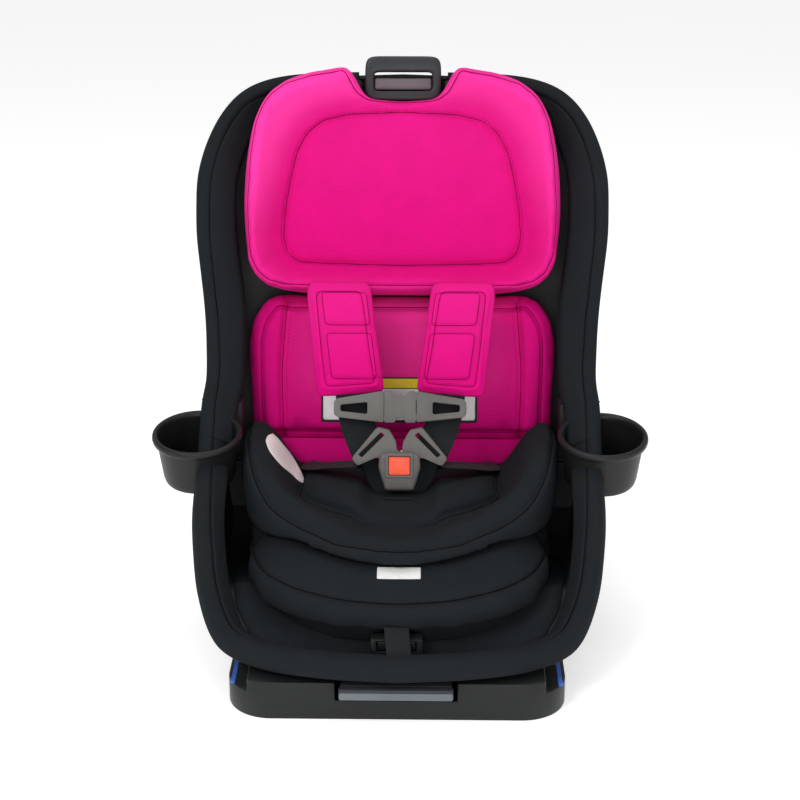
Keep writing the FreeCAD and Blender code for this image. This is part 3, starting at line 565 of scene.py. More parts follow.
def seam_cord(name: str, piece: bpy.types.Object, plane: Plane, line: Array,
              radius: float = 0.0006) -> bpy.types.Object:
    """A thin cord laid in a seam, dressed darker than its fabric as painted shade of the groove: a round
    section along the line where it lands on the piece.
    """
    total = np.linalg.norm(np.diff(line, axis=0), axis=1).sum()
    places, normals, _ = landed(piece, plane, run(line, max(12, int(total / 0.0025))))
    _, side, third = frames_along(places, normals)
    section = round_section(radius, 6)
    rings = places[:, None] + section[None, :, :1] * side[:, None] + section[None, :, 1:] * third[:, None]
    return loft(name, rings)


def set_painted_light(piece: bpy.types.Object, value: Array) -> None:
    """Store on every vertex how much painted light it gets, as a blend to a lighter colour."""
    layer = piece.data.attributes.new("painted_light", "FLOAT", "POINT")
    layer.data.foreach_set("value", value.astype(np.float32))


# ---------------------------------------------------------------- finishes

class Shader:
    """A material's node tree, with short ways to add and join nodes."""

    def __init__(self, name: str) -> None:
        """Start a material with an empty tree."""
        self.material = bpy.data.materials.new(name)
        self.material.use_nodes = True
        self.tree = self.material.node_tree
        self.tree.nodes.clear()
        self.output = self.add("OutputMaterial")
        self.surface = self.add("BsdfPrincipled")
        self.link(self.surface, "BSDF", self.output, "Surface")

    def add(self, kind: str, settings: dict | None = None, **values: object) -> bpy.types.Node:
        """A node of a kind.

        Args:
            kind: the node type without its "ShaderNode" prefix.
            settings: the node's own properties.
            **values: values of its sockets, by name with underscores for spaces.

        Returns:
            The node.
        """
        node = self.tree.nodes.new("ShaderNode" + kind)
        for key, value in (settings or {}).items():
            setattr(node, key, value)
        for key, value in values.items():
            node.inputs[key.replace("_", " ")].default_value = value
        return node

    def link(self, source: bpy.types.Node, output: str, target: bpy.types.Node, entry: str | int) -> None:
        """Join an output to an input."""
        self.tree.links.new(source.outputs[output], target.inputs[entry])

    def set(self, **values: object) -> None:
        """Set the surface's own sockets."""
        for key, value in values.items():
            self.surface.inputs[key.replace("_", " ")].default_value = value

    def tones(self, source: bpy.types.Node, output: str,
              stops: Sequence[tuple[float, Sequence[float]]]) -> None:
        """Colour the surface by a ramp of two tones over a value."""
        ramp = self.add("ValToRGB")
        for element, (position, colour) in zip(ramp.color_ramp.elements, stops):
            element.position = position
            element.color = (*colour, 1)
        self.link(source, output, ramp, "Fac")
        self.link(ramp, "Color", self.surface, "Base Color")

    def blend_to(self, attribute: str, colour: Sequence[float]) -> None:
        """Blend the surface's colour towards another where the mesh's own attribute is high.

        This is painted light: the lighter colour stands in for light that falls there.
        """
        source = self.surface.inputs["Base Color"].links[0].from_node
        reader = self.add("Attribute", {"attribute_name": attribute})
        mix = self.add("Mix", {"data_type": "RGBA"})
        colours = [entry for entry in mix.inputs if entry.type == "RGBA"]
        colours[1].default_value = (*colour, 1)
        self.tree.links.new(source.outputs["Color"], colours[0])
        self.link(reader, "Fac", mix, "Factor")
        result = [entry for entry in mix.outputs if entry.type == "RGBA"][0]
        self.tree.links.new(result, self.surface.inputs["Base Color"])

    def bump(self, layers: Sequence[tuple[bpy.types.Node, str, float]]) -> None:
        """Stack bumps on the surface: each layer is a node, its output and a height in metres."""
        below = None
        for source, output, height in layers:
            bump = self.add("Bump", Strength=1.0, Distance=height)
            self.link(source, output, bump, "Height")
            if below is not None:
                self.link(below, "Normal", bump, "Normal")
            below = bump
        self.link(below, "Normal", self.surface, "Normal")


def shade(colour: Sequence[float], factor: float) -> tuple[float, ...]:
    """A colour made lighter or darker."""
    return tuple(min(1.0, channel * factor) for channel in colour)


@dataclass(frozen=True)
class Knit:
    """A fine knitted or brushed cover fabric."""

    name: str
    colour: tuple[float, float, float]
    sheen: float = 0.25
    loop: float = 0.0011
    depth: float = 0.00022
    rough: float = 0.85
    # lit: the lighter colour painted in as light where the mesh's own attribute is high
    lit: tuple[float, float, float] | None = None

    def material(self) -> bpy.types.Material:
        """Loops from a cell pattern, a slow mottling of tone and a soft sheen."""
        shader = Shader(self.name)
        place = shader.add("TexCoord")
        loops = shader.add("TexVoronoi", {"feature": "F1"}, Scale=1 / self.loop, Randomness=0.35)
        mottle = shader.add("TexNoise", Scale=34.0, Detail=4.0, Roughness=0.6)
        fuzz = shader.add("TexNoise", Scale=900.0, Detail=3.0)
        for node in (loops, mottle, fuzz):
            shader.link(place, "Object", node, "Vector")
        mix = shader.add("Mix", {"data_type": "FLOAT"}, Factor=0.45)
        shader.link(mottle, "Fac", mix, "A")
        shader.link(loops, "Distance", mix, "B")
        shader.tones(mix, "Result", [(0.2, shade(self.colour, 0.86)), (0.8, shade(self.colour, 1.16))])
        # painted light: blend towards the lit colour by the mesh's own attribute
        if self.lit:
            shader.blend_to("painted_light", self.lit)
        shader.set(Roughness=self.rough, Sheen_Weight=self.sheen, Sheen_Roughness=0.45,
                   Sheen_Tint=(*shade(self.colour, 1.0), 1), Specular_IOR_Level=0.08)
        shader.bump([(mottle, "Fac", self.depth * 1.5), (loops, "Distance", self.depth),
                     (fuzz, "Fac", self.depth / 2)])
        return shader.material


@dataclass(frozen=True)
class Webbing:
    """Woven strap: a twill across the strap's own UV map."""

    name: str
    colour: tuple[float, float, float]

    def material(self) -> bpy.types.Material:
        """Diagonal waves for the twill and fine ribs along the strap."""
        shader = Shader(self.name)
        place = shader.add("UVMap", {"uv_map": "strap"})
        twill = shader.add("TexWave", {"wave_type": "BANDS", "bands_direction": "DIAGONAL"}, Scale=260.0,
                           Distortion=0.4, Detail=1.0)
        ribs = shader.add("TexWave", {"wave_type": "BANDS", "bands_direction": "X"}, Scale=160.0)
        mottle = shader.add("TexNoise", Scale=120.0, Detail=3.0)
        for node in (twill, ribs, mottle):
            shader.link(place, "UV", node, "Vector")
        mix = shader.add("Mix", {"data_type": "FLOAT"}, Factor=0.5)
        shader.link(twill, "Fac", mix, "A")
        shader.link(mottle, "Fac", mix, "B")
        shader.tones(mix, "Result", [(0.2, shade(self.colour, 0.7)), (0.8, shade(self.colour, 1.5))])
        shader.set(Roughness=0.6, Sheen_Weight=0.05, Sheen_Roughness=0.4, Specular_IOR_Level=0.15)
        shader.bump([(ribs, "Fac", 0.00018), (twill, "Fac", 0.00025)])
        return shader.material


@dataclass(frozen=True)
class Moulded:
    """Moulded plastic with a fine spark-eroded grain and a little wear along its flow."""

    name: str
    colour: tuple[float, float, float]
    rough: float = 0.42
    grain: float = 0.00006

    def material(self) -> bpy.types.Material:
        """Grain from fine noise, with slow changes of tone and gloss."""
        shader = Shader(self.name)
        place = shader.add("TexCoord")
        grain = shader.add("TexNoise", Scale=1400.0, Detail=4.0, Roughness=0.7)
        slow = shader.add("TexNoise", Scale=18.0, Detail=5.0, Roughness=0.55)
        for node in (grain, slow):
            shader.link(place, "Object", node, "Vector")
        shader.tones(slow, "Fac", [(0.3, shade(self.colour, 0.88)), (0.7, shade(self.colour, 1.14))])
        gloss = shader.add("MapRange", None, From_Min=0.3, From_Max=0.7, To_Min=self.rough - 0.05,
                           To_Max=self.rough + 0.07)
        shader.link(slow, "Fac", gloss, "Value")
        shader.link(gloss, "Result", shader.surface, "Roughness")
        shader.set(Specular_IOR_Level=0.28)
        shader.bump([(grain, "Fac", self.grain)])
        return shader.material


@dataclass(frozen=True)
class Metal:
    """Plated or brushed steel."""

    name: str
    colour: tuple[float, float, float] = (0.52, 0.52, 0.53)

    def material(self) -> bpy.types.Material:
        """Streaks along X over a metallic base."""
        shader = Shader(self.name)
        place = shader.add("TexCoord")
        turn = shader.add("Mapping")
        turn.inputs["Scale"].default_value = (40.0, 900.0, 900.0)
        streak = shader.add("TexNoise", Scale=1.0, Detail=3.0)
        shader.link(place, "Object", turn, "Vector")
        shader.link(turn, "Vector", streak, "Vector")
        shader.tones(streak, "Fac", [(0.3, shade(self.colour, 0.8)), (0.7, shade(self.colour, 1.1))])
        shader.set(Metallic=1.0, Roughness=0.34)
        shader.bump([(streak, "Fac", 0.00003)])
        return shader.material


@dataclass(frozen=True)
class Printed:
    """A woven label: a plain field with no words."""

    name: str
    colour: tuple[float, float, float]
    rough: float = 0.6

    def material(self) -> bpy.types.Material:
        """A tight plain weave over the field's colour."""
        shader = Shader(self.name)
        place = shader.add("TexCoord")
        weave = shader.add("TexBrick", None, Scale=420.0, Mortar_Size=0.04)
        fleck = shader.add("TexNoise", Scale=300.0, Detail=2.0)
        for node in (weave, fleck):
            shader.link(place, "Object", node, "Vector")
        shader.tones(fleck, "Fac", [(0.2, shade(self.colour, 0.92)), (0.8, shade(self.colour, 1.04))])
        shader.set(Roughness=self.rough, Sheen_Weight=0.1)
        shader.bump([(weave, "Fac", 0.00005)])
        return shader.material


class Finish(Enum):
    """The seat's named finishes."""

    # PINK's lit colour is painted light, blended onto the headrest border, the back pad's upper middle and
    # the shoulder pads' tops
    PINK = Knit("pink_knit", (0.62, 0.0030, 0.180), sheen=0.12, lit=(0.92, 0.045, 0.36))
    BLACK = Knit("black_knit", (0.0125, 0.0150, 0.0172), sheen=0.08)
    # The seams are real; these seam finishes are darker than their fabrics as painted shade of the seam
    # grooves
    SEAM_SHADE_PINK = Knit("pink_seam_shade", (0.26, 0.001, 0.07), sheen=0.0, loop=0.0005)
    SEAM_SHADE_BLACK = Knit("black_seam_shade", (0.0016, 0.0017, 0.0020), sheen=0.0, loop=0.0005)
    MESH = Knit("pale_mesh", (0.78, 0.72, 0.72), sheen=0.2, loop=0.0016, depth=0.0005)
    THREAD_PINK = Knit("pink_thread", (0.40, 0.002, 0.11), sheen=0.05, loop=0.0005)
    THREAD_ORANGE = Knit("orange_thread", (0.75, 0.16, 0.05), sheen=0.2, loop=0.0005)
    WEBBING = Webbing("black_webbing", (0.0100, 0.0108, 0.0120))
    SHELL = Moulded("shell_plastic", (0.0100, 0.0105, 0.0112), rough=0.5)
    BASE = Moulded("base_plastic", (0.0088, 0.0096, 0.0102), rough=0.42)
    CUP = Moulded("cup_plastic", (0.0085, 0.0090, 0.0088), rough=0.40)
    GREY = Moulded("grey_plastic", (0.118, 0.112, 0.105), rough=0.42)
    LIGHT_GREY = Moulded("light_grey_plastic", (0.115, 0.135, 0.145), rough=0.35)
    HANDLE = Moulded("handle_plastic", (0.026, 0.028, 0.032), rough=0.4)
    TRIGGER = Moulded("trigger_plastic", (0.135, 0.112, 0.125), rough=0.42)
    RED = Moulded("red_plastic", (0.90, 0.095, 0.045), rough=0.35)
    STEEL = Metal("plated_steel")
    DARK_STEEL = Metal("blackened_steel", (0.03, 0.03, 0.032))
    RUBBER = Moulded("foot_rubber", (0.02, 0.02, 0.02), rough=0.8, grain=0.0001)
    LABEL_WHITE = Printed("label_white", (0.80, 0.80, 0.79))
    LABEL_YELLOW = Printed("label_yellow", (0.85, 0.70, 0.02))
    LABEL_BLACK = Printed("label_black", (0.012, 0.012, 0.012))
    LABEL_BLUE = Printed("label_blue", (0.03, 0.13, 0.62))


class Wardrobe:
    """Makes each finish's material once."""

    def __init__(self) -> None:
        """Start with no materials made."""
        self.made: dict[Finish, bpy.types.Material] = {}

    def dress(self, piece: bpy.types.Object, finish: Finish) -> None:
        """Give a piece a finish and nothing else."""
        if finish not in self.made:
            self.made[finish] = finish.value.material()
        piece.data.materials.clear()
        piece.data.materials.append(self.made[finish])


WARDROBE = Wardrobe()


def fit(piece: bpy.types.Object, body: str, finish: Finish, slot: str, *nodes: str,
        fill: float | None = None) -> bpy.types.Object:
    """Dress a finished piece and fasten it to its body.

    Args:
        piece: the piece.
        body: the CAD body that it rides on.
        finish: its finish.
        slot: the record's material slot; not used.
        *nodes: the CAD nodes that it stands for.
        fill: how full it is, if it is padded; not used.

    Returns:
        The piece.
    """
    WARDROBE.dress(piece, finish)
    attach(piece, body)
    if nodes:
        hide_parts(*nodes)
    LOG.info("%s on %s, %d faces", piece.name, body, len(piece.data.polygons))
    return piece


# ---------------------------------------------------------------- CAD nodes as dressed copies

def cad_mesh(node: str) -> tuple[Array, list[tuple[int, ...]]]:
    """A CAD node's points, in the seat's frame, and its faces."""
    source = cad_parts[node]
    points = coordinates(source)
    turn = np.array(source.matrix_world)
    return points @ turn[:3, :3].T + turn[:3, 3], [tuple(face.vertices) for face in source.data.polygons]


def refined(node: str, bevel: float = 0.0, angle: float = 32.0) -> bpy.types.Object:
    """A copy of a CAD node with its points merged, its flat faces whole and its edges rounded.

    Args:
        node: the CAD node's name.
        bevel: the width of the rounding, or nothing for none.
        angle: the angle above which an edge is sharp, in degrees.

    Returns:
        The copy, which carries the node's name and "dressed".
    """
    points, faces = cad_mesh(node)
    piece = mesh_piece(node + ".dressed", points, faces)
    work = bmesh.new()
    work.from_mesh(piece.data)
    bmesh.ops.remove_doubles(work, verts=work.verts, dist=0.00002)
    bmesh.ops.dissolve_limit(work, angle_limit=math.radians(1.2), verts=work.verts, edges=work.edges)
    bmesh.ops.recalc_face_normals(work, faces=work.faces)
    work.to_mesh(piece.data)
    work.free()
    piece.data.polygons.foreach_set("use_smooth", np.ones(len(piece.data.polygons), bool))
    if bevel:
        bevelled(piece, bevel, angle)
        apply_modifiers(piece)
    piece.data.set_sharp_from_angle(angle=math.radians(40))
    return piece


class ShellSurface:
    """Finds places on the outside of the CAD shell."""

    def __init__(self) -> None:
        """Build the search tree once."""
        points, faces = cad_mesh("outer_shell")
        self.tree = BVHTree.FromPolygons(points.tolist(), faces)

    def side(self, y: float, z: float) -> float | None:
        """The outside's distance from the middle at a depth and a height."""
        hit = self.tree.ray_cast(Vector((0.5, y, z)), Vector((-1, 0, 0)))[0]
        return None if hit is None else hit.x

    def front(self, x: float, z: float) -> float | None:
        """The outside's depth at a distance from the middle and a height, met from the front."""
        hit = self.tree.ray_cast(Vector((x, -0.6, z)), Vector((0, 1, 0)))[0]
        return None if hit is None else hit.y


# ---------------------------------------------------------------- the shell and its covers

@dataclass(frozen=True)
class EdgeCovers:
    """Padded covers wrapped over the shell's edge: two wings and the lip between them."""

    inward: float = 0.040
    lip_inward: float = 0.034
    outside: float = 0.0030
    rise: float = 0.0075
    flap: float = 0.016
    seam_in: float = 0.0125
    seam_depth: float = 0.0022

    def edge(self, surface: ShellSurface) -> Array:
        """The right half of the shell's edge, from the lip's middle over the wing to the top's middle."""
        lip = []
        for x in np.linspace(0, 0.15, 12):
            y = surface.front(x, 0.061)
            if y is not None:
                lip.append((x, y, 0.064))
        corners = [(-0.186, 0.068), (-0.128, 0.108), (-0.088, 0.178), (-0.020, 0.226), (0.045, 0.262),
                   (0.0937, 0.311), (0.1392, 0.481), (0.2070, 0.525)]
        side = []
        for y, z in run(corners, 60, 0.012):
            x = surface.side(y + 0.006, z - 0.004)
            if x is not None:
                side.append((x, y, z))
        top = [(0.194, 0.358), (0.180, 0.371), (0.160, 0.3805), (0.134, 0.3865), (0.100, 0.3895),
               (0.050, 0.3905)]
        crest = [tuple(BACK.at(x, height, -0.037)) for x, height in top]
        return run(lip + side + crest, 300, 0.012)

    def section(self, inward: float) -> Array:
        """The wrap's section: side is inwards and third stands off the edge.

        It drops down the outside, rolls over the top, has a seam a little way in and slopes to a tucked edge.
        The seam is a groove whose depth is a bell curve of the distance across.
        """
        corners = [(-self.outside, -self.flap), (-self.outside, 0.000), (0.001, self.rise * 0.85),
                   (0.010, self.rise), (inward * 0.6, self.rise * 0.45), (inward, -0.006),
                   (inward + 0.002, -0.020), (inward * 0.7, -0.022), (0.010, -0.014), (0.001, -0.018)]
        line = run(corners, 96, 0.0030, closed=True)
        groove = self.seam_depth * np.exp(-((line[:, 0] - self.seam_in) / 0.0014) ** 2) * (line[:, 1] > 0)
        line[:, 1] -= groove
        return line

    def wrap(self, name: str, line: Array, inward: Array) -> bpy.types.Object:
        """One length of cover along a line of the edge.

        The side direction points from the edge to a middle line inside the seat, and the third direction
        is square to it and to the edge, on the seat's open side.
        """
        height = line[:, 2]
        middle_y = np.interp(height, [0.06, 0.1, 0.3, 0.45, 0.6], [0, 0, 0.06, 0.14, 0.2])
        middle_z = np.interp(height, [0.06, 0.3, 0.45, 0.6], [0.07, 0.3, 0.40, 0.42])
        middle = np.stack([0 * height, middle_y, middle_z], axis=1)
        tangent = np.gradient(line, axis=0)
        tangent /= np.linalg.norm(tangent, axis=1, keepdims=True)
        across = middle - line
        across -= (across * tangent).sum(axis=1, keepdims=True) * tangent
        across = bell_average(across / np.linalg.norm(across, axis=1, keepdims=True), 6, False)
        across /= np.linalg.norm(across, axis=1, keepdims=True)
        off = np.cross(across, tangent)
        off *= np.where((off * np.array([0.0, -0.5, 1.0])).sum(axis=1, keepdims=True) < 0, -1, 1)
        sections = np.stack([self.section(width) for width in inward])
        shallow = 1 - 0.45 * step_up(height, 0.50, 0.56)
        sections[..., 1] *= np.where(sections[..., 1] < 0, shallow[:, None], 1)
        rings = line[:, None] + sections[..., :1] * across[:, None] + sections[..., 1:] * off[:, None]
        cord = np.stack([section[np.argmin(np.abs(section[:, 0] - self.seam_in) - 9 * (section[:, 1] > 0))]
                         for section in sections])
        path = line + cord[:, :1] * across + cord[:, 1:] * off
        path = bell_average(path, 2, False)
        seam = sweep(name + ".seam", path, round_section(0.0006, 6), np.array([0.2, 0.3, 0.9]))
        # the seam cord's darker finish is painted shade of the seam groove
        fit(seam, "shell", Finish.SEAM_SHADE_BLACK, "black_fabric")
        return loft(name, rings)

    def build(self, surface: ShellSurface) -> None:
        """The three covers and the seam stitching on them."""
        half = self.edge(surface)
        mirror = half[::-1] * np.array([-1.0, 1.0, 1.0])
        split = int(np.argmin(np.abs(half[:, 1] + 0.020)))
        for label, line in (("right", half[split - 2:]), ("left", mirror[:len(half) - split + 2])):
            reach = step_up(line[:, 2], 0.23, 0.34) * (1 - 0.62 * step_up(line[:, 2], 0.50, 0.565))
            width = self.lip_inward + (self.inward - self.lip_inward) * reach
            width -= 0.020 * step_up(line[:, 2], 0.52, 0.57)
            piece = self.wrap("wing_cover_wrap." + label, line, width)
            fit(piece, "shell", Finish.BLACK, "black_fabric", "wing_cover_" + label, fill=0.8)
        lip = np.concatenate([mirror[len(half) - split - 2:-1], half[:split + 2]])
        width = self.lip_inward * (0.8 + 0.2 * np.sin(np.linspace(0.3, math.pi - 0.3, len(lip))))
        piece = self.wrap("lip_cover_wrap", lip, width)
        fit(piece, "shell", Finish.BLACK, "black_fabric", "lip_cover", fill=0.8)


@dataclass(frozen=True)
class ShellBody:
    """The moulded shell and the plain parts fixed to it."""

    plastic: tuple[str, ...] = ("cup_bracket_left", "cup_bracket_right", "headrest_guide_left",
                                "headrest_guide_right", "recline_lugs_left", "recline_lugs_right",
                                "recline_rack", "recline_rollers_left", "recline_rollers_right",
                                "harness_adjuster")
    rib_heights: tuple[float, ...] = (0.06, 0.14, 0.22, 0.30)
    rib_x: float = 0.118
    rib_width: float = 0.008
    rib_out: tuple[float, float] = (-0.0595, -0.055)

    def build(self) -> None:
        """The shell with rounded edges, its ribs at the back and its fittings."""
        shell = fit(refined("outer_shell", 0.0016), "shell", Finish.SHELL, "black_plastic", "outer_shell")
        half = [(0.0, -0.216), (0.095, -0.207), (0.145, -0.178), (0.168, -0.130), (0.178, -0.06),
                (0.178, 0.0), (0.0, 0.0)]
        floor = run(whole(half), 300, 0.008, closed=True)
        lining = draped("shell_floor_lining", shell, SEAT, floor, 0.0020, 0.0016)
        fit(lining, "shell", Finish.BLACK, "black_fabric")
        for node in self.plastic:
            fit(refined(node, 0.0008), "shell", Finish.SHELL, "black_plastic", node)
        ribs = []
        half = self.rib_width / 2
        for height in self.rib_heights:
            low, high = height - half, height + half
            outline = run([(-0.05, low), (0.05, low), (0.05, high), (-0.05, high)], 80, 0.0015, closed=True)
            ribs.append(slab("rib", BACK, outline, *self.rib_out, 0.0014))
        for side in (-1, 1):
            left, right = side * self.rib_x - half, side * self.rib_x + half
            corners = [(left, -0.02), (right, -0.02), (right, 0.34), (left, 0.34)]
            outline = run(corners, 160, 0.0015, closed=True)
            ribs.append(slab("rib", BACK, outline[::side], *self.rib_out, 0.0014))
        fit(joined("shell_back_ribs", ribs), "shell", Finish.SHELL, "black_plastic")
        for side in ("left", "right"):
            node = "pan_hinge_pin_" + side
            fit(refined(node), "shell", Finish.DARK_STEEL, "steel", node)


# ---------------------------------------------------------------- headrest

@dataclass(frozen=True)
class HeadrestCover:
    """The padded cover of the headrest: a broad shield with raised sides and a stitched middle panel."""

    rim: float = 0.046
    hollow: float = 0.003
    back: float = -0.026
    bulge: float = 0.005
    border: float = 0.0085

    def shield(self) -> Array:
        """The shield's outline with its notch at the top."""
        half = [(0.0, 0.147), (0.095, 0.147), (0.130, 0.148), (0.150, 0.154), (0.164, 0.165), (0.173, 0.184),
                (0.1765, 0.215), (0.177, 0.248), (0.1735, 0.300), (0.167, 0.3355), (0.160, 0.353),
                (0.149, 0.3685), (0.130, 0.3825), (0.100, 0.391), (0.066, 0.3960), (0.0585, 0.3945),
                (0.051, 0.3845), (0.045, 0.3725), (0.036, 0.3660), (0.0, 0.3645)]
        return run(whole(half), 440, 0.0030, closed=True)

    def outline(self, inset: float) -> Array:
        """The shield drawn in."""
        line = self.shield()
        return line - inset * bell_average(outward(line), 3, True)

    def seam(self) -> Array:
        """The stitched panel's outline."""
        half = [(0.0, 0.1772), (0.085, 0.1790), (0.115, 0.181), (0.1270, 0.190), (0.1315, 0.2083),
                (0.1290, 0.240), (0.1230, 0.275), (0.116, 0.303), (0.105, 0.3230), (0.088, 0.3365),
                (0.060, 0.343), (0.0, 0.3455)]
        return run(whole(half), 220, 0.0030, closed=True)

    def front(self, across: Array, up: Array, _deep: Array) -> Array:
        """The front's height.

        Between the rim and the panel it falls with an S over the share of the way in; the panel itself is
        slightly puffed.
        """
        spots = np.stack([across, up], axis=1)
        seam = self.seam()
        to_rim = distance_to(spots, closed(self.smooth_rim()))
        to_seam = distance_to(spots, closed(seam))
        within = inside(spots, seam)
        share = np.where(within, 1.0, to_rim / (to_rim + to_seam))
        fall = step_up(share, -0.10, 1.06)
        return self.rim + (self.hollow - self.rim) * fall + 0.0025 * within * step_up(to_seam, 0, 0.012)

    def painted_light(self, cover: bpy.types.Object) -> None:
        """Painted light on the border: lighter away from the panel, more so towards the top and the sides."""
        across, up, _ = BACK.seen(coordinates(cover))
        spots = np.stack([across, up], axis=1)
        seam = self.seam()
        away = distance_to(spots, closed(seam)) * ~inside(spots, seam)
        high = 0.30 + 0.70 * step_up(up, 0.175, 0.300)
        left = 1.0 - 0.35 * step_up(across, -0.05, 0.12)
        set_painted_light(cover, step_up(away, 0.002, 0.034) * high * left * 0.85 + 0.10 * step_up(up, 0.20, 0.34))

    def smooth_rim(self) -> Array:
        """The shield's outline without the notch, which the front's height follows."""
        half = [(0.0, 0.147), (0.130, 0.148), (0.164, 0.165), (0.1765, 0.215), (0.1735, 0.300),
                (0.160, 0.353), (0.130, 0.3825), (0.066, 0.3960), (0.0, 0.400)]
        return run(whole(half), 120, 0.006, closed=True)

    def build(self) -> None:
        """The cover, its seams and its stitching."""
        cover = panel("headrest_cover", BACK, self.outline(0.008), self.front, self.back, self.bulge, rows=40)
        stuffed(cover, 0.0045, 0.004)
        seam = closed(self.seam())
        carve(cover, BACK, seam, 0.0030, 0.0024)
        carve(cover, BACK, closed(self.outline(self.border)), 0.0022, 0.0018)
        # painted light on the border, lighter towards the top and the sides
        self.painted_light(cover)
        fit(cover, "headrest", Finish.PINK, "pink_fabric", "headrest_pad", fill=0.7)
        cords = [seam_cord("cord", cover, BACK, line) for line in (seam, closed(self.outline(self.border)))]
        # the seam cords' darker finish is painted shade of the seam grooves
        fit(joined("headrest_seams", cords), "headrest", Finish.SEAM_SHADE_PINK, "pink_fabric")
        middle = np.array([0.0, 0.262])
        inner = middle + (seam - middle) * 1.022
        row = stitches("headrest_panel_stitching", cover, BACK, inner)
        fit(row, "headrest", Finish.THREAD_PINK, "pink_fabric")


@dataclass(frozen=True)
class HeadrestGrip:
    """The grip at the top of the headrest: a rounded frame with the grey release lever in its window."""

    def frame(self, half: float, low: float, high: float, corner: float) -> Array:
        """A rounded rectangle, 160 points round."""
        return run([(-half, low), (half, low), (half, high), (-half, high)], 160, corner * 0.62, closed=True)

    def build(self) -> None:
        """The grip, its tail and the lever."""
        outer = self.frame(0.0425, 0.360, 0.4095, 0.013)
        window = self.frame(0.0325, 0.371, 0.3920, 0.005)
        ring = ring_plate("grip_ring", BACK, outer, window, -0.0305, -0.0165)
        tail_outline = rectangle(-0.030, 0.303, 0.030, 0.366, 0.004)
        tail = slab("grip_tail", BACK, tail_outline, -0.0350, -0.0300, 0.0012)
        grip = joined("headrest_grip", [ring, tail])
        fit(grip, "headrest", Finish.HANDLE, "black_plastic", "headrest_handle")
        bar = rectangle(-0.0318, 0.3725, 0.0318, 0.3852, 0.003)
        lever = subdivided(slab("headrest_release_bar", BACK, bar, -0.0275, -0.0200, 0.0022, 0.0008))
        fit(lever, "headrest_release", Finish.TRIGGER, "grey_plastic", "headrest_release_lever")


class Headrest:
    """The headrest's cover, shell, grip and fittings."""

    def build(self) -> None:
        """All of the headrest's pieces."""
        HeadrestCover().build()
        fit(refined("headrest_shell", 0.0012), "headrest", Finish.SHELL, "black_plastic", "headrest_shell")
        HeadrestGrip().build()
        for node in ("headrest_runner_left", "headrest_runner_right", "headrest_cross_plate"):
            fit(refined(node, 0.0008), "headrest", Finish.SHELL, "black_plastic", node)
        fit(refined("headrest_lock_bar", 0.0005), "headrest", Finish.STEEL, "steel", "headrest_lock_bar")


# ---------------------------------------------------------------- back pad and label

